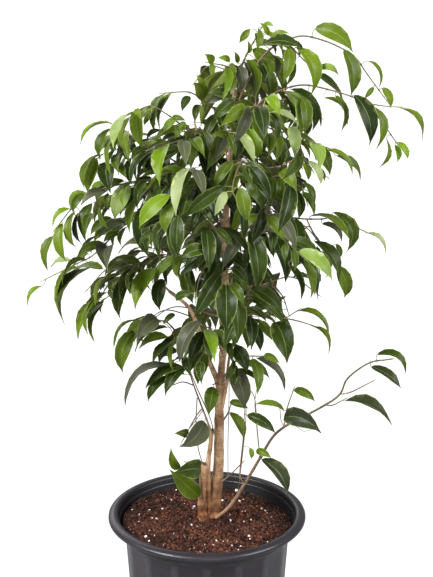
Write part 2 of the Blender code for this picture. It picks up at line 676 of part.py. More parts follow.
def make_pot():
    profile = [
        (0.0, 0.0),
        (BASE_RADIUS - BASE_ROUND, 0.0),
        (BASE_RADIUS, BASE_ROUND),
        (body_radius(0.012), 0.012),
        (BODY_TOP_RADIUS, COLLAR_LOW - STEP_HEIGHT),
        (COLLAR_RADIUS, COLLAR_LOW),
        (COLLAR_RADIUS, LIP_LOW),
        (RIM_RADIUS - 0.002, LIP_LOW),
        (RIM_RADIUS, LIP_LOW + 0.002),
        (RIM_RADIUS - 0.0022, POT_HEIGHT - 0.002),
        (RIM_CROWN_RADIUS, POT_HEIGHT),
        (MOUTH_RADIUS + 0.0015, POT_HEIGHT - 0.0015),
        (MOUTH_RADIUS, POT_HEIGHT - 0.005),
        (COLLAR_RADIUS - WALL, COLLAR_LOW),
        (BODY_TOP_RADIUS - WALL, COLLAR_LOW - STEP_HEIGHT),
        (body_radius(WALL) - WALL, WALL),
        (0.0, WALL),
    ]
    finish = material("charcoal_plastic", (0.030, 0.032, 0.036), 0.42)
    verts, faces = revolved(profile, POT_SEGMENTS, fluted=(3, 4))
    pot = new_object("pot", verts, faces, finish)
    pot.data.shade_smooth()
    pot.data.set_sharp_from_angle(angle=math.radians(30.0))
    return verts, faces


# Soil


def soil_height(x, y):
    """Soil surface: tilted a little to the right, mounded round the trunk, with low waves."""
    away = math.hypot(x - CROWN_CENTRE[0], y - CROWN_CENTRE[1])
    mound = SOIL_MOUND * math.exp(-((away / SOIL_MOUND_WIDTH) ** 2))
    waves = SOIL_WAVE * (math.sin(61 * x + 1.3) * math.cos(53 * y) + math.sin(97 * y + 44 * x))
    level = SOIL_LEVEL - SOIL_SLOPE * x + SOIL_RISE_TO_BACK * y
    return max(SOIL_LOWEST, level + waves) + mound


def make_soil():
    bottom, step = WALL + GAP, COLLAR_LOW - STEP_HEIGHT
    outer = COLLAR_RADIUS - WALL - SOIL_MARGIN
    verts = [(0.0, 0.0, bottom)]
    sides = [(body_radius(bottom) - WALL - SOIL_MARGIN, bottom), (BODY_TOP_RADIUS - WALL - SOIL_MARGIN, step)]
    for radius, height in (*sides, (outer, None), (0.68 * outer, None), (0.36 * outer, None)):
        for k in range(SOIL_SEGMENTS):
            angle = 2 * math.pi * (k + 0.5) / SOIL_SEGMENTS
            x, y = radius * math.cos(angle), radius * math.sin(angle)
            verts.append((x, y, soil_height(x, y) if height is None else height))
    verts.append((*CROWN_CENTRE, soil_height(*CROWN_CENTRE)))
    faces = []
    rings = [1 + i * SOIL_SEGMENTS for i in range(5)]
    for k in range(SOIL_SEGMENTS):
        n = (k + 1) % SOIL_SEGMENTS
        faces.append((0, 1 + n, 1 + k))
        for low, high in zip(rings, rings[1:]):
            faces += [(low + k, low + n, high + n), (low + k, high + n, high + k)]
        faces.append((rings[-1] + k, rings[-1] + n, len(verts) - 1))
    finish = material("potting_soil", (0.060, 0.026, 0.018), 0.95)
    soil = new_object("soil", verts, faces, finish)
    hole = root_crown(CROWN_RADIUS + GAP, CROWN_BOTTOM - GAP, CROWN_TOP + 0.03)
    combine(soil, [hole], operation="DIFFERENCE")
    return soil


# Trunk


def root_crown(radius, bottom, top, shoulder=0.0):
    """A plain upright plug at the trunk's foot, with a sloped shoulder on top where one is given."""
    rings = [(radius, bottom), (radius, top)]
    if shoulder:
        rings.append((radius - shoulder, top + 0.6 * shoulder))
    verts = []
    for r, height in rings:
        for k in range(CROWN_SIDES):
            angle = 2 * math.pi * k / CROWN_SIDES
            verts.append((CROWN_CENTRE[0] + r * math.cos(angle), CROWN_CENTRE[1] + r * math.sin(angle), height))
    faces = [tuple(range(CROWN_SIDES))[::-1]]
    for ring in range(len(rings) - 1):
        for k in range(CROWN_SIDES):
            a, b = ring * CROWN_SIDES + k, ring * CROWN_SIDES + (k + 1) % CROWN_SIDES
            faces.append((a, b, b + CROWN_SIDES, a + CROWN_SIDES))
    last = (len(rings) - 1) * CROWN_SIDES
    faces.append(tuple(range(last, last + CROWN_SIDES)))
    return verts, faces


def make_trunk():
    finish = material("fig_bark", (0.42, 0.27, 0.15), 0.80)
    verts, faces = root_crown(CROWN_RADIUS, CROWN_BOTTOM, CROWN_TOP, shoulder=0.007)
    trunk = new_object("trunk", verts, faces, finish)
    stems = []
    for name, places in WOOD.items():
        route = [seen(*place[:3]) for place in places]
        stems.append(tube(route, [place[3] for place in places], WOOD_SIDES[name]))
    combine(trunk, stems)
    trunk.data.shade_smooth()
    trunk.data.set_sharp_from_angle(angle=math.radians(50.0))
    return trunk


# Leaves


def blade_stations(leaf, places):
    """Points of the midrib at these shares of its length, with the side and face directions there.

    The midrib is a quadratic Bezier curve whose middle is lifted off the straight line by `lift`."""
    bend = 0.5 * (leaf.base + leaf.tip) + 2 * leaf.lift
    stations = []
    for t in places:
        point = (1 - t) ** 2 * leaf.base + 2 * t * (1 - t) * bend + t**2 * leaf.tip
        tangent = unit((1 - t) * (bend - leaf.base) + t * (leaf.tip - bend))
        side = unit(np.cross(tangent, leaf.face))
        stations.append((point, side, np.cross(side, tangent)))
    return stations


def leaf_solid(leaf, spare=0.0):
    """The faceted leaf: a three-sided stalk, a blade that is flat above and keeled below, and a drip tip.

    Returns its points, the stalk's faces and the blade's faces. `spare` fattens it to test its clearance."""
    small = np.linalg.norm(leaf.tip - leaf.base) < SMALL_LEAF
    places, widths = ((0.42,), (1.0,)) if small else ((0.30, 0.66), (0.98, 0.78))
    stations = blade_stations(leaf, places)
    ahead = unit(stations[0][0] - leaf.base)
    face = np.cross(unit(np.cross(ahead, leaf.face)), ahead)
    mitre = unit(MITRE_SHARE * unit(leaf.base - leaf.root) + ahead)
    side = unit(np.cross(mitre, face))
    face = np.cross(side, mitre)
    verts = []
    for centre, radius in ((leaf.root, STALK_ROOT_RADIUS + spare), (leaf.base, STALK_RADIUS + spare)):
        verts += [centre + radius * (0.5 * face - side), centre + radius * (0.5 * face + side),
                  centre - radius * face]
    for (point, side, face), share in zip(stations, widths):
        reach = 0.5 * leaf.width * share + spare
        verts += [point - side * reach + face * spare, point + side * reach + face * spare,
                  point - face * (KEEL + spare)]
    verts.append(leaf.tip)
    faces = [(0, 2, 1), (0, 1, 4, 3), (1, 2, 5, 4), (2, 0, 3, 5)]
    for a in range(3, len(verts) - 4, 3):
        faces += [(a, a + 1, a + 4), (a, a + 4, a + 3), (a + 1, a + 2, a + 5), (a + 1, a + 5, a + 4),
                  (a + 2, a, a + 3), (a + 2, a + 3, a + 5)]
    last, tip = len(verts) - 4, len(verts) - 1
    faces += [(last, last + 1, tip), (last + 1, last + 2, tip), (last + 2, last, tip)]
    return verts, faces[:4], faces[4:]


def outward_of(point):
    """Level direction from the trunk's line to this point."""
    away = np.array((point[0] - 0.012, point[1] - 0.012, 0.0))
    return away / max(1e-6, np.linalg.norm(away))


def hanging_lift(along, face, base, draw, hang=1.0):
    """How far the middle of a midrib one unit long is lifted: it arches, and it bends so that the tip hangs."""
    up = UP + 0.8 * outward_of(base)
    up = up - along * (up @ along)
    return ARCH * face + hang * (SAG + SAG_SPREAD * draw) * unit(up)


def picture_leaf(place, twig_points, twig_pictures, draws, attempt):
    """A leaf whose blade base, tip and seen width are read in the picture, hung on the nearest twig.

    A blade that looks wide for its length leans towards the viewer, and one that looks narrow is turned
    edge-on. Later attempts swing the tip in depth, roll the blade, shift its base and then shrink it."""
    across, down, tip_across, tip_down, wide, *hang = place
    swing = SWINGS[attempt % len(SWINGS)]
    turn = attempt // len(SWINGS)
    nearest = np.argmin(np.linalg.norm(twig_pictures - (across, down), axis=1)) + ROOT_SHIFTS[turn]
    root = twig_points[min(max(nearest, 0), len(twig_points) - 1)]
    base = seen(across, down, root[1] - 0.004 + DEPTH_SHIFTS[turn])
    stalk = np.linalg.norm(base - root)
    base = root + (base - root) * min(max(stalk, STALK_SHORTEST), STALK_LONGEST) / max(stalk, 1e-6)
    flat = np.linalg.norm(seen(tip_across, tip_down, base[1]) - base)
    wide = wide * np.linalg.norm(base - EYE) / PICTURE_FOCAL
    length = max(1.03 * flat, wide / 0.40)
    lean = -math.sqrt(max(0.0, length**2 - flat**2)) - SWING_SHARE * swing * length
    tip = seen(tip_across, tip_down, base[1] + lean)
    shrink = 1.0 - 0.03 * max(0, turn - 4)
    tip = base + (tip - base) * shrink
    width = max(wide, (WIDTH_TO_LENGTH + 0.03 * draws[0]) * length) * shrink
    roll = math.acos(min(1.0, max(0.25, wide / width))) + 0.3 * (attempt % 3 - 1) * (attempt > 0)
    along = unit(tip - base)
    facing = unit(-FORWARD + along * (FORWARD @ along))
    across_face = np.cross(along, facing)
    liking = 1.2 * UP + outward_of(tip)
    turns = [math.cos(roll) * facing + sign * math.sin(roll) * across_face for sign in (1.0, -1.0)]
    face = max(turns, key=lambda turned: turned @ liking)
    lift = length * shrink * hanging_lift(along, face, base, draws[1], *hang)
    return Leaf(root, base, tip, face, lift, width)


def free_leaf(root, direction, number, draws):
    """A leaf by the rule: leaves stand left and right of the twig in turn, lean along it and droop.

    `draws` are six random numbers from -1 to 1: turn, droop, roll, length, width and arch."""
    level = np.cross(direction, UP)
    level = unit(level) if np.linalg.norm(level) > 0.15 else np.cross(unit(outward_of(root)), UP)
    level = level if number % 2 else -level
    out = unit(0.55 * direction + level + 0.35 * outward_of(root) + 0.6 * draws[0] * outward_of(root))
    out[2] = max(out[2], -0.2)
    base = root + unit(out + 0.10 * UP) * 0.011
    droop = 0.95 + 0.55 * draws[1]
    along = unit(out * np.array((1.0, 1.0, 0.0)) - droop * UP)
    length = 0.060 + 0.009 * draws[3]
    face = unit(UP * 0.8 + outward_of(base) - along * ((UP * 0.8 + outward_of(base)) @ along))
    roll = 0.6 * draws[2]
    face = math.cos(roll) * face + math.sin(roll) * np.cross(along, face)
    width = (WIDTH_TO_LENGTH + 0.04 * draws[4]) * length
    lift = length * hanging_lift(along, face, base, draws[5])
    return Leaf(root, base, base + along * length, face, lift, width)


def blade_points(leaf):
    """Both ends of the blade and two places on its midrib."""
    return [leaf.base, leaf.tip, *(station[0] for station in blade_stations(leaf, (0.35, 0.70)))]


def inside_crown(points):
    """Whether the picture shows every one of these points inside the crown's edge."""
    across, down = pictured(points).T[:, :, None]
    x, y = CROWN_EDGE.T
    next_x, next_y = np.roll(x, -1), np.roll(y, -1)
    level = (y > down) != (next_y > down)
    crossing = x + (down - y) * (next_x - x) / np.where(next_y == y, 1.0, next_y - y)
    return bool((np.sum(level & (across < crossing), axis=1) % 2 == 1).all())


def random_draws(*key):
    """Six repeatable random numbers from -1 to 1 for this key."""
    return np.random.default_rng([SEED, *key]).uniform(-1.0, 1.0, 6)


# Room among the leaves


class Room:
    """The solids placed so far, and whether a new one would cross any of them."""

    def __init__(self):
        self.solids = []

    def add(self, verts, faces, owner):
        points = np.asarray([tuple(v) for v in verts])
        tree = BVHTree.FromPolygons([tuple(v) for v in verts], [tuple(f) for f in faces])
        self.solids.append((points.min(axis=0), points.max(axis=0), tree, owner))

    def add_leaf(self, leaf):
        verts, stalk_faces, blade_faces = leaf_solid(leaf)
        self.add(verts, stalk_faces + blade_faces, "leaf")

    def crossed(self, verts, faces, passes=()):
        """The owners of the solids that this one crosses, without those in `passes`."""
        points = np.asarray([tuple(v) for v in verts])
        low, high = points[sorted({i for face in faces for i in face})].min(axis=0), points.max(axis=0)
        tree = None
        found = []
        for other_low, other_high, other, owner in self.solids:
            if owner in passes or (low > other_high).any() or (other_low > high).any():
                continue
            tree = tree or BVHTree.FromPolygons([tuple(v) for v in verts], [tuple(f) for f in faces])
            if tree.overlap(other):
                found.append(owner)
        return found


def pierces(start, end, triangle):
    """Whether the straight line from start to end passes through the triangle."""
    line = end - start
    hit = intersect_ray_tri(*triangle, line, start, True)
    return hit is not None and 0.0 < (hit - start) @ line < line @ line


def folds_into_itself(verts, faces):
    """Whether two faces that share one corner, or none, cross each other."""
    points = [Vector(v) for v in verts]
    triangles = []
    for face in faces:
        triangles += [(face[0], b, c) for b, c in zip(face[1:], face[2:])]
    for first, second in itertools.combinations(triangles, 2):
        shared = set(first) & set(second)
        if len(shared) > 1:
            continue
        for one, other in ((first, second), (second, first)):
            solid = [points[i] for i in other]
            for start, end in itertools.combinations(one, 2):
                if not shared & {start, end} and pierces(points[start], points[end], solid):
                    return True
    return False


def takes_leaf(room, leaf, twigs):
    """Whether the leaf has room. Its stalk may enter its own twigs, and its blade may enter nothing."""
    ahead = blade_stations(leaf, (0.30,))[0][0] - leaf.base
    if unit(leaf.base - leaf.root) @ unit(ahead) < DOUBLED_BACK:
        return False
    verts, stalk_faces, blade_faces = leaf_solid(leaf, spare=CLEARANCE)
    if room.crossed(verts, blade_faces) or room.crossed(verts, stalk_faces, passes=(twigs,)):
        return False
    return not folds_into_itself(leaf_solid(leaf)[0], stalk_faces + blade_faces)


# Leafy stems


def outside_trunk(route, radius, trunk_tree):
    """The route without the stretch inside the trunk, starting a hair's breadth off the bark."""
    points, directions = along_route(route, spacing=0.0001)
    for number, (point, direction) in enumerate(zip(points, directions)):
        side = unit(np.cross(direction, SKEW))
        other = np.cross(direction, side)
        room = []
        for angle in np.arange(8) * math.pi / 4:
            corner = point + radius * (math.cos(angle) * side + math.sin(angle) * other)
            spot, normal, _, away = trunk_tree.find_nearest(corner.tolist())
            out = (corner - np.array(spot)) @ np.array(normal)
            room.append(away if out > 0 else -away)
        if min(room) > GAP:
            rest = [p for p in route if (p - point) @ direction > 0.006]
            return np.vstack([point, *rest])
    return route


def back_routes(height, compass, reach, rise, fall, side_twig):
    """Twigs of a stem behind: an arch that leaves the trunk and droops, with three side twigs.

    A side twig length below zero turns the first and third to the other side."""
    start = seen(225, height, 0.012)
    start[0] = np.interp(start[2], TRUNK_LINE[:, 2], TRUNK_LINE[:, 0])
    angle = math.radians(compass)
    out = np.array((math.cos(angle), math.sin(angle), 0.0))
    level = np.array((-out[1], out[0], 0.0))
    main = []
    for s in np.linspace(0.0, 1.0, 6):
        lift = rise * math.sin(math.pi * min(1.0, s * 0.85)) - fall * s**2
        sway = BACK_SWAY * (math.sin(5.0 * s + angle) - math.sin(angle))
        main.append(start + out * reach * s + level * sway + UP * lift)
    twigs = [main]
    for share, sign in ((0.35, 1.0), (0.55, -1.0), (0.78, 1.0)):
        spot = main[0] + (main[-1] - main[0]) * share
        spot[2] = np.interp(share, np.linspace(0.0, 1.0, 6), [p[2] for p in main])
        turned = unit(0.7 * out + math.copysign(1.0, sign * side_twig) * level)
        length = abs(side_twig) * (1.15 - 0.4 * share)
        twigs.append([spot, spot + turned * 0.55 * length + UP * 0.012, spot + turned * length - UP * 0.012])
    return twigs


def laid_twigs(twigs, trunk_tree):
    """Routes of a stem's twigs as even points: the first starts off the bark, the rest start in the first."""
    main = outside_trunk(smooth_route(twigs[0], MAIN_STEP), TWIG_RADIUS, trunk_tree)
    routes = [main]
    spots = along_route(main)[0]
    for twig in twigs[1:]:
        twig = np.asarray(twig, float)
        twig[0] = spots[np.argmin(np.linalg.norm(spots - twig[0], axis=1))]
        routes.append(smooth_route(twig, SIDE_STEP))
    return routes


def place_picture_leaves(room, stems):
    """The leaves read in the picture that find room, for each stem. The largest of the plant choose first."""
    places = []
    for number, stem in enumerate(stems):
        spots = [along_route(route)[0] for route in stem.routes]
        points = np.vstack(spots)
        pictures = pictured(points)
        for index, place in enumerate(stem.places):
            size = math.dist(place[:2], place[2:4]) * place[4]
            places.append((-size, number, index, place, points, pictures))
    leaves = [[] for _ in stems]
    for _, number, index, place, points, pictures in sorted(places, key=lambda item: item[:3]):
        draws = random_draws(number, index)
        for attempt in range(len(SWINGS) * len(DEPTH_SHIFTS)):
            leaf = picture_leaf(place, points, pictures, draws, attempt)
            if takes_leaf(room, leaf, stems[number].name):
                leaves[number].append(leaf)
                room.add_leaf(leaf)
                break
        else:
            print(stems[number].name, "has no room for the leaf at", place)
    return leaves


def place_free_leaves(room, number, stem):
    """The leaves that the rule adds to one stem, where they find room."""
    spots = [along_route(route) for route in stem.routes]
    points = np.vstack([spot[0] for spot in spots])
    directions = np.vstack([spot[1] for spot in spots])
    leaves = []
    start = int(BARE_SHARE * len(points))
    for index in range(stem.free):
        spot = start + int((index + 0.5) * (len(points) - start) / stem.free)
        for attempt in range(FREE_ATTEMPTS):
            draws = random_draws(number, 100 + index, attempt)
            at = min(len(points) - 1, max(0, spot + int(4 * draws[0])))
            leaf = free_leaf(points[at], directions[at], index + attempt, draws)
            if inside_crown(blade_points(leaf)) and takes_leaf(room, leaf, stem.name):
                leaves.append(leaf)
                room.add_leaf(leaf)
                break
    return leaves


def make_stem(stem, leaves):
    colour = OLD_GREEN + (YOUNG_GREEN - OLD_GREEN) * stem.tint
    finish = material(stem.name + "_green", tuple(colour), 0.35)
    verts, faces = twig_solid(stem.routes[0], 0)
    made = new_object(stem.name, verts, faces, finish)
    parts = [twig_solid(route, 1) for route in stem.routes[1:]]
    for leaf in leaves:
        verts, stalk_faces, blade_faces = leaf_solid(leaf)
        parts.append((verts, stalk_faces + blade_faces))
    combine(made, parts)


def main():
    for old in list(bpy.data.objects):
        bpy.data.objects.remove(old)
    room = Room()
    room.add(*make_pot(), "pot")
    soil = make_soil()
    trunk = make_trunk()
    for solid in (soil, trunk):
        mesh = solid.data
        faces = [tuple(polygon.vertices) for polygon in mesh.polygons]
        room.add([v.co for v in mesh.vertices], faces, solid.name)
    trunk_tree = BVHTree.FromObject(trunk, bpy.context.evaluated_depsgraph_get())
    stems = []
    for name, stem in FRONT_STEMS.items():
        twigs = [[seen(*place) for place in twig] for twig in stem["twigs"]]
        stems.append(Stem(name, laid_twigs(twigs, trunk_tree), stem["leaves"], stem["free"], stem["tint"]))
    for index, (name, (*arch, count)) in enumerate(BACK_STEMS.items()):
        twigs = back_routes(*arch)
        stems.append(Stem(name, laid_twigs(twigs, trunk_tree), [], count, BACK_TINTS[index % 2]))
    for stem in stems:
        for number, route in enumerate(stem.routes):
            solid = twig_solid(route, number)
            crossed = room.crossed(*solid, passes=(stem.name,))
            if crossed:
                print(stem.name, "twig", number, "crosses", crossed)
            room.add(*solid, stem.name)
    all_leaves = place_picture_leaves(room, stems)
    for number, stem in enumerate(stems):
        all_leaves[number] += place_free_leaves(room, number, stem)
        make_stem(stem, all_leaves[number])
    print(sum(len(leaves) for leaves in all_leaves), "leaves on", len(stems), "stems")


main()
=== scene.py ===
# %% [markdown]
# # A weeping fig in its nursery pot, as surfaces
#
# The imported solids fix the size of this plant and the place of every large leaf. This notebook dresses
# them: it reads each leaf back from its solid, lays a thin blade on the same midrib, and turns the pot,
# the soil and the woody stems again with more sides. Everything new is worked out with numpy, as grids
# of points, and handed to Blender as a mesh.

import math
from collections import namedtuple

import bpy
import numpy as np
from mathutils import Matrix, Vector
from mathutils.bvhtree import BVHTree


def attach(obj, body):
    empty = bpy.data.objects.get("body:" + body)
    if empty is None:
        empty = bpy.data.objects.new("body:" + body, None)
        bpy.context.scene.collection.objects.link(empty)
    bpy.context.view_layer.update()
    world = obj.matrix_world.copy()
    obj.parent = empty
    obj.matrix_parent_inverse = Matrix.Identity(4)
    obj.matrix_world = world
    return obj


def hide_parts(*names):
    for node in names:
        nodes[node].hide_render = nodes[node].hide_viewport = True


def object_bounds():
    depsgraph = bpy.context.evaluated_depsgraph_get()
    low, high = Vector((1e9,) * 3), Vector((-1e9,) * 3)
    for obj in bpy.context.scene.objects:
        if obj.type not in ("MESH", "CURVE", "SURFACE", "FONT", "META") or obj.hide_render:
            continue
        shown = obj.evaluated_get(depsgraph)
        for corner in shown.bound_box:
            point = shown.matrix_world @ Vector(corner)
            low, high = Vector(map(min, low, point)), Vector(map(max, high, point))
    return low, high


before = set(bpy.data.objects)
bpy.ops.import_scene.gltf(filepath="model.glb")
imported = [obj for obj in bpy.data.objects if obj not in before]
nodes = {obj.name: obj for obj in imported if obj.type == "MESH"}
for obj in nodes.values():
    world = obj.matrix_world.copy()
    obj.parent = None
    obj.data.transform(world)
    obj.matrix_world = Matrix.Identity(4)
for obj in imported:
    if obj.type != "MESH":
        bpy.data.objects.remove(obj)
cad_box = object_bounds()
print(len(nodes), "solids, box", [tuple(round(c, 3) for c in corner) for corner in cad_box])

# %% [markdown]
# ## The picture's eye
#
# Most of this plant was measured in one picture, 433 points wide and 577 high. A ray from the eye through
# a picture point meets an upright sheet at a chosen depth behind the pot's middle, which gives the place
# in space. The same eye is where the camera stands at the end, so the plant is seen as it was measured.

# %% Rays from the eye, and back again
PICTURE_WIDE, PICTURE_HIGH = 433, 577
PICTURE_MIDDLE = (PICTURE_WIDE / 2, PICTURE_HIGH / 2)
PICTURE_FOCAL = 1816.0
EYE = np.array((0.0136, -2.351, 1.3967))
EYE_PITCH = math.radians(19.1)
FORWARD = np.array((0.0, math.cos(EYE_PITCH), -math.sin(EYE_PITCH)))
RIGHTWARD = np.array((1.0, 0.0, 0.0))
UPWARD = np.array((0.0, math.sin(EYE_PITCH), math.cos(EYE_PITCH)))
UP = np.array((0.0, 0.0, 1.0))
MM = 1000


def seen(places):
    """Points in space for rows of (across, down, depth in mm): eye + ray * (depth - eye's) / ray's depth."""
    across, down, depth = np.asarray(places, float)[:, :3].T
    ray = (FORWARD + RIGHTWARD * (across[:, None] - PICTURE_MIDDLE[0]) / PICTURE_FOCAL
           + UPWARD * (PICTURE_MIDDLE[1] - down[:, None]) / PICTURE_FOCAL)
    return EYE + ray * ((depth / MM - EYE[1]) / ray[:, 1])[:, None]


def pictured(points):
    """Where the picture shows points: sideways and up over the distance, times the focal length."""
    away = points - EYE
    distance = away @ FORWARD
    return np.stack([PICTURE_MIDDLE[0] + PICTURE_FOCAL * (away @ RIGHTWARD) / distance,
                     PICTURE_MIDDLE[1] - PICTURE_FOCAL * (away @ UPWARD) / distance], axis=-1)


def unit(vectors):
    """Vectors divided by their length, along the last axis."""
    return vectors / np.maximum(np.linalg.norm(vectors, axis=-1, keepdims=True), 1e-12)


print("the solids' top is pictured at row", round(pictured(np.array((0.0, 0.0, cad_box[1][2])))[1]))

# %% [markdown]
# ## Gathering surfaces into a piece
#
# A real leafy shoot grew as one, so its twigs and leaves make one piece here too. A bundle collects grids
# of points and faces, shifts each face's corner numbers past the points that are already there, and keeps
# a few numbers for every point that the materials read later: how far along a leaf it lies, how old it is,
# a shade of its own and how much painted grey sheen it has. The painted sheen stands for the reflection
# and shade that grey some leaves. Each face also says if it is a blade's lower side.

# %% A bundle of surfaces
def placed(name, data):
    """A new object with this mesh, lamp or camera, put into the scene."""
    made = bpy.data.objects.new(name, data)
    bpy.context.scene.collection.objects.link(made)
    return made


class Bundle:
    """Points and faces gathered for one piece, with the numbers that its materials read."""

    def __init__(self):
        self.points, self.faces, self.finishes, self.under = [], [], [], []
        self.spread, self.age, self.shade, self.painted_sheen = [], [], [], []
        self.count = 0

    def add(self, points, faces, finish=0, spread=None, age=0.0, shade=0.5, under=None, painted_sheen=0.0):
        """Adds points (n, 3) and face arrays. `under` holds 1 for the faces of a blade's lower side."""
        total = len(points)
        self.points.append(points)
        for number, grid in enumerate(faces):
            self.faces += (grid + self.count).tolist()
            self.finishes.append(np.full(len(grid), finish))
            self.under.append(np.zeros(len(grid)) if under is None else under[number])
        self.spread.append(np.zeros((total, 2)) if spread is None else spread)
        for kept, values in ((self.age, age), (self.shade, shade), (self.painted_sheen, painted_sheen)):
            kept.append(np.broadcast_to(values, total))
        self.count += total

    def piece(self, name, finishes, stands_for=(), sharp=None):
        """Makes the mesh object, rides it on the plant's one body and hides the solids that it stands for."""
        mesh = bpy.data.meshes.new(name)
        mesh.from_pydata(np.concatenate(self.points).tolist(), [], self.faces)
        corners = np.empty(len(mesh.loops), np.int32)
        mesh.loops.foreach_get("vertex_index", corners)
        spread = mesh.uv_layers.new(name="spread")
        spread.uv.foreach_set("vector", np.concatenate(self.spread)[corners].ravel())
        for label, values, domain in (("age", self.age, "POINT"), ("shade", self.shade, "POINT"),
                                      ("painted_sheen", self.painted_sheen, "POINT"), ("under", self.under, "FACE")):
            layer = mesh.attributes.new(label, "FLOAT", domain)
            layer.data.foreach_set("value", np.concatenate(values).astype(np.float32))
        for finish in finishes:
            mesh.materials.append(finish)
        mesh.polygons.foreach_set("material_index", np.concatenate(self.finishes).astype(np.int32))
        mesh.shade_smooth()
        if sharp is not None:
            mesh.set_sharp_from_angle(angle=math.radians(sharp))
        made = placed(name, mesh)
        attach(made, "root")
        if stands_for:
            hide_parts(*stands_for)
        print(f"{name}: {sum(len(face) - 2 for face in self.faces)} triangles")


# %% [markdown]
# ## Curves and tubes
#
# A twig is a tube carried along a curve. The curve passes through the measured places on a Catmull-Rom
# spline, which needs no handles, and is then walked in even steps, so that the rings of the tube are
# evenly spaced. Round each ring an angle turns between two directions that stand across the curve. Stalks,
# midribs and rounded corners are shorter, so three points and a quadratic curve are enough for them.

# %% Smooth curves
STRETCH_STEPS = 16


def smooth_line(places, spacing):
    """Even points on a Catmull-Rom curve: each stretch blends four neighbours by cubic weights of share t."""
    places = np.asarray(places, float)
    padded = np.vstack([2 * places[0] - places[1], places, 2 * places[-1] - places[-2]])
    t = np.linspace(0.0, 1.0, STRETCH_STEPS, endpoint=False)[None, :, None]
    a, b, c, d = (padded[k:len(padded) - 3 + k, None] for k in range(4))
    dense = 0.5 * (2 * b + (c - a) * t + (2 * a - 5 * b + 4 * c - d) * t**2 + (3 * b - a - 3 * c + d) * t**3)
    dense = np.vstack([dense.reshape(-1, places.shape[1]), places[-1:]])
    along = np.concatenate([[0.0], np.cumsum(np.linalg.norm(np.diff(dense[:, :3], axis=0), axis=1))])
    count = max(3, int(round(along[-1] / spacing)) + 1)
    marks = np.linspace(0.0, along[-1], count)
    return np.stack([np.interp(marks, along, column) for column in dense.T], axis=1)


def bent(start, knee, end, t):
    """The quadratic Bezier curve (1-t)^2 start + 2t(1-t) knee + t^2 end."""
    return (1 - t) ** 2 * start + 2 * t * (1 - t) * knee + t**2 * end


def round_angles(sides):
    """Even angles round a ring, from 0 to just short of a full turn."""
    return np.arange(sides) * 2 * math.pi / sides


print(len(smooth_line([(0, 0, 0), (0, 0, 0.05), (0, 0.05, 0.10)], 0.01)), "points on a short bend")


# %% Tubes round a curve
POINT_REACH = 0.6


def tube_faces(rings, sides):
    """Quads between neighbouring rings, and triangles from the last two points to the first and last ring."""
    ring, k = np.meshgrid(np.arange(rings - 1), np.arange(sides), indexing="ij")
    after = (k + 1) % sides
    walls = np.stack([ring * sides + k, ring * sides + after, (ring + 1) * sides + after,
                      (ring + 1) * sides + k], axis=-1).reshape(-1, 4)
    k = np.arange(sides)
    after, last = (k + 1) % sides, (rings - 1) * sides
    foot = np.stack([np.full(sides, rings * sides), after, k], axis=1)
    top = np.stack([np.full(sides, rings * sides + 1), last + k, last + after], axis=1)
    return [walls, foot, top]


def tube(line, radii, sides, flat_end=False):
    """Points and faces of a closed tube: centre + radius * (cos a * side + sin a * other) for each ring.

    `side` is square to the curve and to the axis that the curve avoids most, and `other` to both. `radii`
    is one number for each ring, or one for each point as (rings, sides). Each end is closed to a middle
    point, which POINT_REACH of a radius carries outward at the far end, unless that is flat."""
    along = unit(np.gradient(line, axis=0))
    side = unit(np.cross(along, np.eye(3)[np.argmin(np.abs(along).max(axis=0))]))
    other = np.cross(along, side)
    angles = round_angles(sides)
    radii = np.asarray(radii, float)
    radii = radii if radii.ndim == 2 else np.repeat(radii[:, None], sides, axis=1)
    turn = np.cos(angles)[None, :, None] * side[:, None] + np.sin(angles)[None, :, None] * other[:, None]
    rings = line[:, None] + radii[:, :, None] * turn
    reach = 0.0 if flat_end else POINT_REACH * radii[-1].mean()
    ends = np.stack([line[0], line[-1] + along[-1] * reach])
    return np.vstack([rings.reshape(-1, 3), ends]), tube_faces(len(line), sides)


print(sum(len(grid) for grid in tube_faces(5, 7)), "faces in a tube of 5 rings with 7 sides")

# %% [markdown]
# ## Finishes from nodes
#
# Each material is a small tree of nodes round one Principled shader. A few helpers keep the trees short:
# one adds a node and plugs numbers or other nodes' outputs into its sockets, others do sums, and one lays
# a coat of colour over another. An output knows the tree that it belongs to, so most of them need no more
# than the outputs that they work on.

# %% Helpers for node trees
def finish(name, roughness, specular=0.5):
    """A new material, its tree and its shader. Numbers that are the same all over sit on the shader."""
    made = bpy.data.materials.new(name)
    made.use_nodes = True
    shader = made.node_tree.nodes["Principled BSDF"]
    shader.inputs["Roughness"].default_value = roughness
    shader.inputs["Specular IOR Level"].default_value = specular
    return made, made.node_tree, shader


def plug(socket, value):
    """Links an output to a socket, or sets the socket to a number or colour. None leaves it as it is."""
    if isinstance(value, bpy.types.NodeSocket):
        socket.id_data.links.new(value, socket)
    elif value is not None:
        socket.default_value = value


def add(tree, kind, *values, out=0, **settings):
    """Adds a node, sets its options, fills its sockets in order and returns one output."""
    node = tree.nodes.new(kind)
    for option, value in settings.items():
        setattr(node, option, value)
    for socket, value in zip(node.inputs, values):
        plug(socket, value)
    return node.outputs[out]


def stored(tree, label):
    """The number that a bundle stored under this label."""
    return add(tree, "ShaderNodeAttribute", attribute_name=label, out=2)


def object_places(tree):
    """Each point's place on the object itself, which no camera or light changes."""
    return add(tree, "ShaderNodeTexCoord", out=3)


def scaled(places, *scale):
    """Places scaled along x, y and z, which squashes or draws out the pattern that reads them."""
    return add(places.id_data, "ShaderNodeMapping", places, None, None, scale)


def noise(places, scale, detail=3.0):
    """A cloudy number from 0 to 1. A larger scale makes smaller clouds, and detail adds finer ones."""
    return add(places.id_data, "ShaderNodeTexNoise", places, None, scale, detail)


# %% Sums, steps and colours
def maths(operation, value, other=None):
    """The output of one sum, such as MULTIPLY or SINE, of one or two numbers."""
    return add(value.id_data, "ShaderNodeMath", value, other, operation=operation)


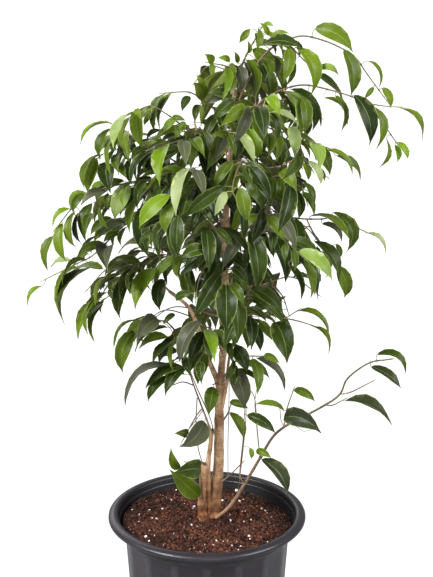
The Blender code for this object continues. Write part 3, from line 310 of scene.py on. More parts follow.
def times(value, other):
    return maths("MULTIPLY", value, other)


def plus(value, other):
    return maths("ADD", value, other)


def minus(value, other):
    return maths("SUBTRACT", value, other)


def varied(tone, by, much):
    """A tone moved by how far another number is from a half: tone + (by - 0.5) * much."""
    return plus(tone, times(minus(by, 0.5), much))


def between(value, low, high, at_low=0.0, at_high=1.0):
    """A smooth step: at_low under `low`, at_high over `high`, and an even S-curve between them."""
    return add(value.id_data, "ShaderNodeMapRange", value, low, high, at_low, at_high,
               interpolation_type="SMOOTHSTEP")


def ramp(value, *stops):
    """Colours by a number, from (place, colour) pairs in rising order."""
    node = value.id_data.nodes.new("ShaderNodeValToRGB")
    plug(node.inputs[0], value)
    for number, (place, colour) in enumerate(stops):
        element = node.color_ramp.elements[number] if number < 2 else node.color_ramp.elements.new(place)
        element.position = place
        element.color = (*colour, 1.0)
    return node.outputs[0]


def mix(share, first, second):
    """Blends a colour into another, as far as `share` says."""
    node = share.id_data.nodes.new("ShaderNodeMix")
    node.data_type = "RGBA"
    for number, value in ((0, share), (6, first), (7, second)):
        plug(node.inputs[number], (*value, 1.0) if isinstance(value, tuple) else value)
    return node.outputs[2]


def coated(colour, mask, share, coat):
    """A coat laid over a colour where the mask is 1, as strongly as `share` says."""
    return mix(times(mask, share), colour, coat)


def complete(made, shader, colour, height, strength, distance, roughness=None):
    """Plugs in the colour, the roughness and a normal bumped by a height, and tells the node count."""
    plug(shader.inputs["Base Color"], colour)
    plug(shader.inputs["Roughness"], roughness)
    node = made.node_tree.nodes.new("ShaderNodeBump")
    for label, value in (("Strength", strength), ("Distance", distance), ("Height", height)):
        plug(node.inputs[label], value)
    plug(shader.inputs["Normal"], node.outputs[0])
    print(made.name, "has", len(made.node_tree.nodes), "nodes")
    return made


# %% [markdown]
# ## The leaf's finish
#
# A weeping fig's leaf is dark and glossy when old and yellow-green when young. Its midrib and its thin
# margin are paler than the blade, fine side veins run out from the midrib, and the lower side is duller
# and more olive. The blade's own map tells the pattern where it is: its first number runs from the stalk
# to the tip, its second from the left margin to the right.

# %% Leaf colours
VEIN_PAIRS, VEIN_SLANT = 15.0, 9.0


def leaf_finish():
    """Green by age, duller below, with a pale midrib and margin, faint veins and a painted grey sheen on
    some.
    """
    made, tree, shader = finish("fig_leaf_green", 0.36, 0.13)
    age, shade, under, painted_sheen = (stored(tree, label) for label in ("age", "shade", "under", "painted_sheen"))
    along = add(tree, "ShaderNodeSeparateXYZ", add(tree, "ShaderNodeUVMap", uv_map="spread"))
    middle = maths("ABSOLUTE", minus(along.node.outputs[1], 0.5))
    cloud = noise(object_places(tree), 70.0, 2.0)
    tone = varied(varied(age, cloud, 0.22), shade, 0.16)
    blade = ramp(tone, (0.0, (0.008, 0.016, 0.003)), (0.25, (0.033, 0.055, 0.004)),
                 (0.5, (0.084, 0.126, 0.006)), (0.75, (0.108, 0.188, 0.004)), (1.0, (0.25, 0.285, 0.145)))
    dull = ramp(tone, (0.0, (0.045, 0.052, 0.012)), (0.5, (0.105, 0.135, 0.020)), (1.0, (0.36, 0.44, 0.16)))
    # painted sheen: a grey coat that stands for the reflection of the white surroundings and the shade that
    # grey some leaves
    colour = coated(mix(under, blade, dull), painted_sheen, 0.75, (0.060, 0.057, 0.045))
    slant = minus(times(along, VEIN_PAIRS), times(middle, VEIN_SLANT))
    vein = between(maths("SINE", times(slant, 2 * math.pi)), 0.55, 1.0)
    colour = coated(colour, vein, 0.12, (0.14, 0.20, 0.05))
    rib, rim = between(middle, 0.008, 0.028, 1.0, 0.0), between(middle, 0.450, 0.480)
    colour = mix(maths("MAXIMUM", times(rib, 0.38), times(rim, 0.50)), colour, (0.27, 0.36, 0.12))
    height = minus(times(vein, -0.12), times(rib, 0.6))
    gloss = plus(plus(times(under, 0.20), times(cloud, 0.12)), 0.30)
    return complete(made, shader, colour, height, 0.35, 0.0002, gloss)


LEAF = leaf_finish()

# %% [markdown]
# ## Bark, thin and thick
#
# A twig's bark is green while it is young and turns brown, then tan. The trunk's is tan and pale, with dark
# pores that lie crosswise, faint rings round it and streaks along it, and rusty where it meets the soil.
# The same noise makes all of these marks: squashed it gives pores, and drawn out it gives streaks.

# %% Bark colours
RUST_LOW, RUST_HIGH = 0.24, 0.34


def twig_finish():
    """Bark that is tan where a twig is oldest, then brown, olive and at last lime."""
    made, tree, shader = finish("fig_twig_bark", 0.6)
    grain = noise(object_places(tree), 260.0)
    colour = ramp(varied(stored(tree, "age"), grain, 0.3), (0.0, (0.36, 0.225, 0.140)),
                  (0.16, (0.105, 0.070, 0.043)), (0.65, (0.12, 0.105, 0.040)), (1.0, (0.32, 0.40, 0.09)))
    return complete(made, shader, colour, grain, 0.5, 0.0004)


def bark_finish():
    """Tan bark with dark crosswise pores, rusty near the soil, and dark where its age says it was cut."""
    made, tree, shader = finish("fig_bark_tan", 0.72, 0.3)
    places = object_places(tree)
    squashed = scaled(places, 1.0, 1.0, 2.6)
    colour = ramp(noise(places, 42.0, 4.0), (0.30, (0.215, 0.113, 0.056)), (0.50, (0.495, 0.308, 0.174)),
                  (0.70, (0.75, 0.53, 0.345)))
    rust = ramp(noise(places, 130.0), (0.38, (0.055, 0.012, 0.003)), (0.52, (0.215, 0.060, 0.012)),
                (0.66, (0.44, 0.20, 0.075)))
    height = add(tree, "ShaderNodeSeparateXYZ", places, out=2)
    colour = coated(colour, between(height, RUST_LOW, RUST_HIGH, 1.0, 0.0), 0.90, rust)
    streaks = between(noise(scaled(places, 1.0, 1.0, 0.22), 150.0), 0.52, 0.66)
    colour = coated(colour, streaks, 0.45, (0.24, 0.12, 0.055))
    pores = between(noise(squashed, 230.0, 2.0), 0.58, 0.65)
    rings = between(noise(scaled(places, 0.6, 0.6, 4.0), 60.0, 2.0), 0.60, 0.66)
    marks = maths("MAXIMUM", pores, times(rings, 0.5))
    colour = coated(colour, marks, 0.75, (0.085, 0.040, 0.020))
    colour = mix(stored(tree, "age"), colour, (0.030, 0.016, 0.010))
    height = minus(noise(squashed, 420.0, 4.0), times(marks, 0.6))
    return complete(made, shader, colour, height, 0.6, 0.0008)


TWIG = twig_finish()
BARK = bark_finish()

# %% [markdown]
# ## Reading the leaves back
#
# Each leafy solid is a twig with keeled leaves of few faces. A leaf's tip is the one kind of point with
# just three neighbours that all lie far off. Those three are the last ring of the blade, and the ring
# before is one step further. In a ring the point nearest the middle of the other two is the keel, so the
# other two are the margins. Two ring middles and the tip fix the midrib's quadratic Bezier curve.

# %% The rings of a faceted leaf
FAR = 0.0045
SAME_PLACE = 6

Leaves = namedtuple("Leaves", "base bend tip width low_facing high_facing")


def ring_facts(points):
    """Middle, width and facing of each ring, whose three points come as (leaves, 3, 3) in any order."""
    middles = 0.5 * (np.roll(points, 1, axis=1) + np.roll(points, 2, axis=1))
    keel = np.argmin(np.linalg.norm(points - middles, axis=2), axis=1)
    each = np.arange(len(points))
    sides = points[each, (keel + 1) % 3] - points[each, (keel + 2) % 3]
    middle = middles[each, keel]
    return middle, np.linalg.norm(sides, axis=1), unit(middle - points[each, keel])


def joined_points(mesh):
    """A mesh's points, those at one place counted once, and a table of which of them share an edge."""
    points = np.empty(len(mesh.vertices) * 3, np.float32)
    mesh.vertices.foreach_get("co", points)
    mesh.calc_loop_triangles()
    corners = np.empty(len(mesh.loop_triangles) * 3, np.int32)
    mesh.loop_triangles.foreach_get("vertices", corners)
    points = np.round(points.reshape(-1, 3).astype(float), SAME_PLACE)
    points, index = np.unique(points, axis=0, return_inverse=True)
    corners = index.reshape(-1)[corners.reshape(-1, 3)]
    joined = np.zeros((len(points), len(points)), bool)
    for a, b in ((0, 1), (1, 2), (2, 0)):
        joined[corners[:, a], corners[:, b]] = joined[corners[:, b], corners[:, a]] = True
    return points, joined


def tips_and_rings(points, joined):
    """Each leaf's tip, with its last ring and the ring before as rows of three points."""
    tips = np.flatnonzero(joined.sum(axis=1) == 3)
    ring = np.argwhere(joined[tips])[:, 1].reshape(-1, 3)
    far = np.linalg.norm(points[ring] - points[tips][:, None], axis=2).min(axis=1) > FAR
    tips, ring = tips[far], ring[far]
    each = np.arange(len(tips))
    further = joined[ring].any(axis=1)
    further[each[:, None], ring] = False
    further[each, tips] = False
    away = np.where(further, np.linalg.norm(points[None] - points[tips][:, None], axis=2), 0.0)
    before = np.argsort(-away, axis=1)[:, :3]
    return points[tips], points[ring], points[before]


print("a blade's last ring lies more than", FAR * MM, "mm from its tip")

# %% [markdown]
# A long leaf's rings stand at 30 % and 66 % of its midrib. Both ring middles are sums of base, bend and tip
# with weights that are known there, so base and bend are the solution of two equations. A small leaf has
# one ring, at 42 %, and its blade starts at the middle of its stalk's end.

# %% Midribs from rings
RING_SHARES = (0.30, 0.66)
LOW_RING_FULLNESS = 0.98
SMALL_SHARE = 0.42
NARROW = 0.0025


def read_leaves(node):
    """The leaves of one solid. Long ones solve two ring middles for base and bend, small ones have one."""
    tip, ring, before = tips_and_rings(*joined_points(node.data))
    high, high_width, high_facing = ring_facts(ring)
    low, low_width, low_facing = ring_facts(before)
    s, t = RING_SHARES
    weights = np.array([[(1 - s) ** 2, 2 * s * (1 - s)], [(1 - t) ** 2, 2 * t * (1 - t)]])
    known = np.stack([low - s**2 * tip, high - t**2 * tip], axis=1)
    base, bend = np.moveaxis(np.linalg.inv(weights) @ known, 1, 0)
    small = (low_width < NARROW)[:, None]
    foot, s = before.mean(axis=1), SMALL_SHARE
    base = np.where(small, foot, base)
    bend = np.where(small, (high - (1 - s) ** 2 * foot - s**2 * tip) / (2 * s * (1 - s)), bend)
    width = np.where(small[:, 0], high_width, low_width / LOW_RING_FULLNESS)
    return Leaves(base, bend, tip, width, np.where(small, high_facing, low_facing), high_facing)


LEAFY = [name for name in sorted(nodes) if name.endswith(("_stem", "_leaf", "_sprig"))]
read = {name: read_leaves(nodes[name]) for name in LEAFY}
print(sum(len(leaves.tip) for leaves in read.values()), "leaves on", len(LEAFY), "stems")

# %% [markdown]
# ## A blade on its midrib
#
# A real blade is a thin skin about a third of a millimetre thick. It is folded a little along the midrib
# like an open book, its margins wave slowly, and it ends in a long drip tip. So the surface is the midrib
# curve plus a step to the side, a rise with the distance from the midrib and a slow wave at the margin.
# Every leaf uses the same small grid, worked out for all leaves of a stem at once.

# %% The surface of many blades at once
STATIONS = np.array((0.045, 0.16, 0.32, 0.48, 0.64, 0.78, 0.89))
FULLNESS = np.array((0.36, 0.78, 1.00, 0.98, 0.80, 0.48, 0.17))
ACROSS = np.array((-1.0, -0.5, 0.0, 0.5, 1.0))
HALF_SKIN = 0.00018
FOLD, FOLD_SPREAD, FLATTENED = 0.46, 0.20, 0.10
BROADER = 1.12
MARGIN_WAVE, WAVES, WAVE_SHIFT = 0.05, 1.4, 0.18


def midribs(leaves, shares):
    """Points on the curve base, bend, tip at these shares, with the side and facing directions there."""
    t = np.asarray(shares)[None, :, None]
    base, bend, tip = leaves.base[:, None], leaves.bend[:, None], leaves.tip[:, None]
    slope = unit((1 - t) * (bend - base) + t * (tip - bend))
    turn = np.clip((t - RING_SHARES[0]) / (RING_SHARES[1] - RING_SHARES[0]), -0.5, 1.5)
    facing = leaves.low_facing[:, None] * (1 - turn) + leaves.high_facing[:, None] * turn
    side = unit(np.cross(slope, facing))
    return bent(base, bend, tip, t), side, np.cross(side, slope)


def blades(leaves, draws):
    """Points of every blade: midrib + side * v * half width + facing * (fold * |v| + wave * v^2 +- skin)."""
    point, side, facing = midribs(leaves, STATIONS)
    half = (0.5 * BROADER * leaves.width[:, None] * FULLNESS)[:, :, None]
    v = ACROSS[None, None, :]
    fold = (FOLD + FOLD_SPREAD * draws[:, 0])[:, None, None]
    turns = WAVES * STATIONS[None, :, None] + draws[:, 1, None, None] + WAVE_SHIFT * np.sign(v)
    swell = MARGIN_WAVE * leaves.width[:, None, None] * np.sin(2 * math.pi * turns)
    rise = half * (np.sin(fold) * np.abs(v) - FLATTENED * v**2) + swell * v**2
    reach = half * np.cos(fold) * v
    skin = HALF_SKIN * (1 - v**2)
    middle = point[:, :, None] + side[:, :, None] * reach[..., None]
    upper = middle + facing[:, :, None] * (rise + skin)[..., None]
    lower = middle + facing[:, :, None] * (rise - skin)[..., None]
    count = len(leaves.tip)
    return np.concatenate([leaves.base[:, None], leaves.tip[:, None], upper.reshape(count, -1, 3),
                           lower[:, :, 1:-1].reshape(count, -1, 3)], axis=1)


print(len(midribs(read[LEAFY[0]], STATIONS)[0]), "midribs on", LEAFY[0])


# %% The faces and the map of a blade
def quads(grid):
    """Four-cornered faces between the neighbouring rows and columns of a grid of point numbers."""
    return np.stack([grid[:-1, :-1], grid[:-1, 1:], grid[1:, 1:], grid[1:, :-1]], axis=-1).reshape(-1, 4)


def fans(grid):
    """Triangles from point 0 to the grid's first row and from point 1 to its last."""
    zero, one = np.zeros(grid.shape[1] - 1, int), np.ones(grid.shape[1] - 1, int)
    return np.concatenate([np.stack([zero, grid[0, 1:], grid[0, :-1]], axis=1),
                           np.stack([one, grid[-1, :-1], grid[-1, 1:]], axis=1)])


def blade_faces():
    """Faces of one blade: points 0 and 1 are its ends, then the upper grid, then the lower grid's inside.

    Each comes with 0 for the upper side or 1 for the lower, whose corners go round the other way."""
    rows, wide = len(STATIONS), len(ACROSS)
    upper = 2 + np.arange(rows * wide).reshape(rows, wide)
    inside = 2 + rows * wide + np.arange(rows * (wide - 2)).reshape(rows, wide - 2)
    lower = np.hstack([upper[:, :1], inside, upper[:, -1:]])
    return [(quads(upper), 0), (quads(lower)[:, [1, 0, 3, 2]], 1),
            (fans(upper), 0), (fans(lower)[:, [0, 2, 1]], 1)]


def blade_spread():
    """The blade's map: along from 0 at the stalk to 1 at the tip, across from 0 at the left margin to 1."""
    along, across = np.meshgrid(STATIONS, 0.5 + 0.5 * ACROSS, indexing="ij")
    grid = np.stack([along, across], axis=-1)
    return np.concatenate([[(0.0, 0.5), (1.0, 0.5)], grid.reshape(-1, 2), grid[:, 1:-1].reshape(-1, 2)])


print(sum(len(grid) for grid, _ in blade_faces()), "faces in a blade")

# %% [markdown]
# ## Stalks, and many leaves at once
#
# A fig's leaf hangs from a thin round stalk that leaves the twig and runs into the midrib. Three sides are
# enough for it at this size. All leaves of a stem share one list of faces, repeated for each leaf.

# %% Stalks and whole leaves
STALK_THICK, STALK_SIDES = 0.00055, 3
STALK_STATIONS = np.array((0.0, 0.35, 0.7, 1.0))
STALK_OVERLAP, STALK_KNEE = 0.0025, 0.4
STALK_AGE, STALK_AGE_BY_LEAF = 0.55, 0.4


def stalks(leaves, roots):
    """Three-sided stalks from twig to midrib: rings on a quadratic curve with its knee in the rib's line."""
    slope = unit(leaves.bend - leaves.base)
    reach = np.linalg.norm(leaves.base - roots, axis=1)[:, None]
    end = leaves.base + slope * STALK_OVERLAP
    knee = leaves.base - slope * STALK_KNEE * reach
    line = bent(roots[:, None], knee[:, None], end[:, None], STALK_STATIONS[None, :, None])
    along = unit(np.gradient(line, axis=1))
    side = unit(np.cross(along, leaves.low_facing[:, None]))
    other = np.cross(along, side)
    angles = round_angles(STALK_SIDES)
    turn = np.cos(angles)[:, None] * side[:, :, None] + np.sin(angles)[:, None] * other[:, :, None]
    rings = line[:, :, None] + STALK_THICK * turn
    ends = np.stack([line[:, 0], line[:, -1]], axis=1)
    return np.concatenate([rings.reshape(len(roots), -1, 3), ends], axis=1)


def repeated(faces, points_each, count):
    """The same faces for every copy, each copy's corner numbers shifted past the copies before it."""
    shift = (np.arange(count) * points_each)[:, None, None]
    return (faces[None] + shift).reshape(-1, faces.shape[1])


def add_leaves(bundle, leaves, roots, ages, shades, painted_sheen, draws):
    """Adds the blades and stalks of these leaves to a bundle."""
    points = blades(leaves, draws)
    count, each = points.shape[:2]
    grids = blade_faces()
    faces = [repeated(grid, each, count) for grid, _ in grids]
    under = [np.full(len(grid), side, float) for grid, (_, side) in zip(faces, grids)]
    bundle.add(points.reshape(-1, 3), faces, 0, np.tile(blade_spread(), (count, 1)), np.repeat(ages, each),
               np.repeat(shades, each), under, np.repeat(painted_sheen, each))
    points = stalks(leaves, roots)
    each = points.shape[1]
    faces = [repeated(grid, each, count) for grid in tube_faces(len(STALK_STATIONS), STALK_SIDES)]
    bundle.add(points.reshape(-1, 3), faces, 1, None, np.repeat(STALK_AGE + STALK_AGE_BY_LEAF * ages, each))


print(sum(len(grid) for grid in tube_faces(len(STALK_STATIONS), STALK_SIDES)), "faces in a stalk")

# %% [markdown]
# ## Where the twigs run
#
# The main twigs were measured in the picture as (across, down, depth in millimetres). The first twig of a
# stem leaves the trunk, and the others leave the first. Behind the trunk nothing was seen, so those twigs
# follow a rule: an arch that leaves the trunk at a height and compass angle, sways a little and droops at
# its end.

# %% Twigs seen from the front
FRONT_TWIGS = {
    "crown_tip_stem": [[(232.5, 106, 11), (234, 93, 7), (238, 77, 2), (245, 58, -4), (253, 43, -9),
        (262, 27, -12)],
        [(238, 77, 2), (228, 67, -6), (210, 63, -12)]],
    "top_arch_stem": [[(231.8, 120, 12), (241, 96, -8), (255, 68, -19), (268, 51, -25), (285, 41, -32),
        (302, 36, -38), (322, 40, -42), (341, 48, -44), (356, 58, -44), (367, 74, -42), (387, 101, -40)],
        [(285, 41, -32), (298, 54, -47), (316, 73, -60)]],
    "upper_right_stem": [[(231, 140, 12), (247, 116, -12), (265, 99, -30), (284, 89, -45), (305, 85, -56),
        (330, 90, -64), (350, 96, -68), (368, 103, -70), (384, 106, -70), (399, 107, -68)],
        [(368, 103, -70), (379, 118, -76), (396, 142, -78)],
        [(284, 89, -45), (293, 103, -58), (303, 114, -66)]],
    "right_shoulder_stem": [[(229.5, 166, 12), (246, 148, -20), (262, 137, -50), (280, 132, -78),
        (298, 136, -95), (333, 150, -110)],
        [(298, 136, -95), (302, 152, -108), (311, 168, -116)]],
    "right_centre_stem": [[(225.7, 224, 12), (244, 199, -35), (262, 183, -80), (280, 176, -115),
        (304, 189, -142)],
        [(262, 183, -80), (266, 198, -115), (268, 222, -145)]],
    "right_outer_stem": [[(225, 262, 12), (244, 238, -8), (264, 223, -26), (286, 218, -40), (306, 219, -50),
        (322, 219, -56), (336, 218, -60), (364, 231, -62)],
        [(306, 219, -50), (315, 235, -62), (336, 262, -72)]],
    "right_front_stem": [[(226, 294, 13), (240, 264, -40), (255, 240, -90), (268, 230, -125),
        (283, 239, -145), (305, 259, -158)],
        [(255, 240, -90), (252, 231, -125), (250, 228, -145)]],
    "right_low_stem": [[(224, 340, 13), (237, 323, -10), (252, 314, -30), (270, 315, -45), (284, 318, -52),
        (297, 311, -56)],
        [(284, 318, -52), (298, 321, -56), (311, 325, -58)],
        [(237, 323, -10), (243, 302, -50), (250, 289, -75)],
        [(237, 323, -10), (244, 331, -24), (252, 336, -30)]],
    "right_inner_low_stem": [[(221, 384, 12), (231, 366, -12), (243, 357, -27), (262, 356, -40)]],
    "centre_top_stem": [[(230, 152, 12), (236, 131, -30), (246, 114, -65), (256, 106, -90), (268, 113, -112)],
        [(236, 131, -30), (231, 131, -65), (224, 134, -90)]],
    "centre_front_stem": [[(226.5, 208, 12), (232, 183, -30), (238, 166, -80), (241, 162, -118),
        (236, 174, -145), (233, 192, -158), (245, 212, -166)]],
    "centre_low_stem": [[(225.5, 276, 12), (221, 249, -45), (217, 233, -95), (211, 228, -130),
        (204, 246, -165)],
        [(221, 249, -45), (226, 259, -90), (226, 282, -138)],
        [(221, 249, -45), (208, 262, -58), (199, 280, -66), (196, 298, -70)]],
    "left_centre_stem": [[(226, 238, 12), (214, 198, -35), (202, 177, -80), (190, 169, -115),
        (182, 179, -138), (174, 214, -158)],
        [(202, 177, -80), (200, 191, -120), (198, 206, -145)],
        [(174, 214, -158), (167, 222, -156), (160, 230, -150)]],
    "trunk_front_stem": [[(222.5, 354, 13), (216, 337, -22), (209, 328, -38), (198, 326, -50)],
        [(209, 328, -38), (205, 348, -48), (198, 362, -52)]],
    "trunk_bud_leaf": [[(219.5, 386, 13), (217.5, 383, 0), (214, 384, -10)]],
    "top_left_stem": [[(230.5, 148, 12), (222, 119, -6), (212, 107, -16), (200, 98, -23), (188, 92, -28),
        (165, 93, -34)],
        [(222, 119, -6), (226, 105, -24), (234, 98, -40)]],
    "left_shoulder_stem": [[(228.5, 182, 12), (212, 157, -20), (196, 138, -45), (180, 124, -62),
        (165, 113, -75), (150, 106, -82), (132, 113, -88)],
        [(196, 138, -45), (182, 140, -78), (151, 149, -100)]],
    "left_high_stem": [[(227, 216, 12), (204, 185, 0), (180, 165, -14), (156, 150, -26), (136, 140, -34),
        (122, 140, -38), (98, 158, -44)],
        [(136, 140, -34), (124, 131, -40), (110, 123, -44)],
        [(122, 140, -38), (119, 150, -46), (116, 160, -50)]],
    "left_mid_stem": [[(225.7, 246, 12), (204, 213, -8), (180, 194, -26), (158, 181, -40), (138, 181, -50),
        (118, 185, -56), (98, 190, -60), (80, 199, -62), (56, 228, -62)],
        [(158, 181, -40), (150, 189, -55), (142, 204, -68)],
        [(98, 190, -60), (97, 202, -67), (94, 214, -70)]],
    "left_outer_stem": [[(225, 272, 12), (200, 241, 4), (174, 225, -6), (150, 219, -14), (128, 223, -20),
        (108, 241, -24), (92, 256, -26), (76, 264, -28), (46, 279, -28)],
        [(200, 241, 4), (193, 256, -14), (184, 266, -20)]],
    "left_low_stem": [[(172, 293.5, -2.5), (154, 277, -12), (140, 268, -18), (126, 266, -22),
        (114, 276, -26), (98, 301, -30)]],
    "left_branch_stem": [[(204, 346, 6), (191, 338, -14), (178, 333, -28), (164, 321, -42), (140, 321, -58)]],
    "left_sprout_stem": [[(211.5, 432, 0), (205, 415, -6), (200, 402, -8), (194, 386, -14), (188, 368, -20),
        (182, 356, -24)],
        [(194, 386, -14), (183, 382, -22), (173, 385, -28)],
        [(202, 407, -6), (195, 418, -14), (183, 440, -22)]],
    "base_left_stem": [[(205, 503, 3), (202, 491, -10), (201, 478, -17), (197, 468, -22), (188, 463, -25)]],
    "low_right_stem": [[(214, 519, 6), (229, 507, -2), (244.5, 484, -10), (260, 458, -16), (272, 438, -22),
        (284, 427, -26), (297, 420, -28), (325, 405, -32), (340, 394, -34), (348, 378, -36),
        (369, 363, -38), (388, 359.5, -40)],
        [(340, 394, -34), (351, 392, -38), (371, 382, -42)],
        [(325, 405, -32), (333, 405, -38), (343, 400, -42)],
        [(284, 427, -26), (287, 409, -32), (293, 391, -34)],
        [(244, 484, -10), (240, 476, -18), (241, 460, -23), (243, 440, -27), (244.4, 414, -30)]],
    "trunk_right_sprig": [[(222, 422, 10), (228, 413, -6), (231, 404, -12)]],
}
print(sum(len(twigs) for twigs in FRONT_TWIGS.values()), "twigs measured on", len(FRONT_TWIGS), "stems")

# %% [markdown]
# The woody stems were measured in the same way, with a radius in millimetres as a fourth number. Twigs
# behind start from the main one. Each row of the rule holds the picture row where the twig leaves the
# trunk, the compass angle in degrees, then in metres how far it goes out, how high it arches, how far its
# end falls and how long its side twigs are, with a minus where the first goes to the other hand.

# %% Wood, and the twigs behind by a rule
WOOD = {
    "main": [(210.5, 527, 15, 15), (211, 519, 15, 13.6), (213, 503, 15, 11.4), (216.3, 484, 14, 9.4),
        (218.7, 465, 14, 7.7), (219, 430, 13, 6.6), (219.6, 400, 13, 5.9), (221, 377, 13, 5.6),
        (222.5, 356, 13, 4.9), (225, 330, 13, 4.5), (226, 298, 13, 4.2), (225, 262, 12, 3.9),
        (225.5, 230, 12, 3.6), (227, 200, 12, 3.3), (229, 170, 12, 3), (231, 140, 12, 2.6),
        (232, 114, 12, 2.2), (233, 99, 9, 1.8)],
    "left_branch": [(219.5, 388, 12, 4), (215.5, 376, 10, 3.8), (209, 361, 8, 3.4), (204, 345, 6, 3.1),
        (196, 322, 3, 2.8), (187.5, 306, 0, 2.5), (169, 291, -3, 2)],
    "slim_stem": [(220, 418, 8, 1.8), (223.5, 402, 5, 2.2), (226.5, 384, 4, 2.1), (228, 366, 3, 1.9),
        (231, 346, 1, 1.7)],
    "second_stem": [(209, 512, 6, 4.2), (208, 466, 3, 3.5), (210, 448, 3, 3.1), (212, 430, 2, 2.8)],
    "stump": [(204, 525, 6, 8), (202, 500, 3, 6), (203, 480, 1, 5.2), (204, 464, 0, 4.6)],
}
BACK_STEMS = {
    "back_crown_stem": (122, 98, 0.095, 0.055, 0.010, -0.055),
    "back_right_crown_stem": (142, 38, 0.120, 0.055, 0.030, 0.070),
    "back_left_crown_stem": (162, 140, 0.120, 0.040, 0.045, 0.075),
    "back_high_stem": (190, 84, 0.170, 0.065, 0.050, 0.085),
    "back_right_high_stem": (212, 56, 0.190, 0.060, 0.060, 0.080),
    "back_left_high_stem": (230, 124, 0.200, 0.060, 0.060, 0.085),
    "right_side_stem": (250, 14, 0.130, 0.050, 0.060, 0.085),
    "back_left_mid_stem": (284, 154, 0.180, 0.040, 0.060, 0.085),
    "back_mid_stem": (266, 88, 0.215, 0.050, 0.070, 0.085),
    "back_right_low_stem": (316, 52, 0.130, 0.045, 0.050, 0.085),
    "back_low_stem": (346, 112, 0.165, 0.040, 0.065, 0.085),
}
BACK_POINTS, BACK_SWAY, BACK_SWAYS, ARCH_SHARE = 6, 0.012, 5.0, 0.85
SIDE_FORKS = ((0.35, 1.0), (0.55, -1.0), (0.78, 1.0))
FORK_OUTWARD, FORK_KNEE, FORK_RISE = 0.7, 0.55, 0.012
FORK_LONG, FORK_SHORTER = 1.15, 0.4
TRUNK_ACROSS, TRUNK_DEPTH = 225, 12
TRUNK_LINE = seen(WOOD["main"])


def back_routes(row, compass, reach, rise, fall, side_twig):
    """A twig that goes out by s * reach, up by a sine's hump and down by s^2, and three that leave it."""
    start = seen([(TRUNK_ACROSS, row, TRUNK_DEPTH)])[0]
    start[0] = np.interp(start[2], TRUNK_LINE[:, 2], TRUNK_LINE[:, 0])
    angle = math.radians(compass)
    out = np.array((math.cos(angle), math.sin(angle), 0.0))
    level = np.array((-out[1], out[0], 0.0))
    s = np.linspace(0.0, 1.0, BACK_POINTS)
    lift = rise * np.sin(math.pi * np.minimum(1.0, s * ARCH_SHARE)) - fall * s**2
    sway = BACK_SWAY * (np.sin(BACK_SWAYS * s + angle) - math.sin(angle))
    main = start + s[:, None] * reach * out + sway[:, None] * level + lift[:, None] * UP
    routes = [main]
    for share, hand in SIDE_FORKS:
        fork = main[0] + (main[-1] - main[0]) * share
        fork[2] = np.interp(share, s, main[:, 2])
        away = unit(FORK_OUTWARD * out + math.copysign(1.0, hand * side_twig) * level)
        length = abs(side_twig) * (FORK_LONG - FORK_SHORTER * share)
        routes.append(np.array([fork, fork + away * FORK_KNEE * length + UP * FORK_RISE,
                                fork + away * length - UP * FORK_RISE]))
    return routes


print(len(BACK_STEMS), "stems behind,", len(WOOD), "woody ones")

# %% [markdown]
# A side twig's first place is only near the twig that it leaves, so it is moved to the nearest point of
# that twig's smooth line.

# %% Smooth lines for all twigs
TWIG_STEP = 0.003
twig_lines = {}
for name in LEAFY:
    routes = [seen(twig) for twig in FRONT_TWIGS.get(name, ())] or back_routes(*BACK_STEMS[name])
    main = smooth_line(routes[0], TWIG_STEP)
    twig_lines[name] = [main]
    for route in routes[1:]:
        fork = main[np.argmin(np.linalg.norm(main - route[0], axis=1))]
        twig_lines[name].append(smooth_line(np.vstack([fork, route[1:]]), TWIG_STEP))
print(round(sum(len(line) for lines in twig_lines.values() for line in lines) * TWIG_STEP, 1), "m of twig")

# %% [markdown]
# ## More leaves, where there is room
#
# The solids hold the large leaves only. A real fig has a leaf at every knot of its twigs, left and right
# in turn, so this step walks each twig and tries a leaf at every knot. The crown's space is cut into small
# cells. A leaf takes the cells it passes through, and a new one is kept only where its cells are free and
# the picture's crown edge goes round it.

# %% The crown's edge
CROWN_EDGE = np.array([
    (262, 24), (275, 29), (292, 32), (302, 44), (300, 62), (293, 84), (304, 98), (320, 104), (322, 118),
    (308, 128), (302, 138), (326, 146), (336, 160), (326, 172), (308, 172), (300, 180), (316, 188),
    (314, 206), (301, 200), (294, 214), (300, 232), (306, 240), (322, 242), (332, 256), (335, 268),
    (348, 276), (346, 292), (334, 282), (319, 280), (316, 300), (306, 288), (301, 272), (293, 282),
    (282, 262), (275, 268), (285, 300), (286, 316), (293, 328), (292, 345), (288, 362), (278, 350),
    (268, 342), (254, 346), (252, 358), (268, 360), (282, 374), (284, 390), (262, 382), (258, 398),
    (240, 404), (226, 396), (215, 374), (206, 388), (192, 380), (178, 372), (160, 396), (148, 400),
    (140, 392), (124, 405), (128, 384), (148, 370), (158, 354), (170, 344), (150, 346), (130, 362),
    (122, 370), (119, 350), (124, 334), (138, 320), (160, 314), (164, 324), (173, 332), (189, 321),
    (193, 308), (182, 302), (164, 302), (158, 290), (140, 300), (121, 318), (114, 302), (105, 308),
    (96, 340), (84, 336), (77, 324), (82, 308), (96, 294), (104, 280), (84, 270), (68, 292), (60, 296),
    (58, 284), (66, 268), (50, 272), (42, 262), (44, 244), (60, 232), (70, 212), (74, 198), (82, 186),
    (82, 164), (97, 154), (97, 138), (112, 124), (126, 118), (140, 108), (152, 100), (168, 90),
    (164, 112), (162, 122), (186, 122), (196, 128), (199, 112), (192, 94), (192, 84), (201, 74),
    (206, 62), (216, 62), (230, 68), (240, 60), (248, 44), (252, 30),
])


def inside_crown(points):
    """Whether a level line from each pictured point crosses the crown's edge an odd number of times."""
    across, down = pictured(points).T[:, :, None]
    x, y = CROWN_EDGE.T
    next_x, next_y = np.roll(x, -1), np.roll(y, -1)
    level = (y > down) != (next_y > down)
    crossing = x + (down - y) * (next_x - x) / np.where(next_y == y, 1.0, next_y - y)
    return bool((np.sum(level & (across < crossing), axis=1) % 2 == 1).all())


print(len(CROWN_EDGE), "points on the crown's edge")

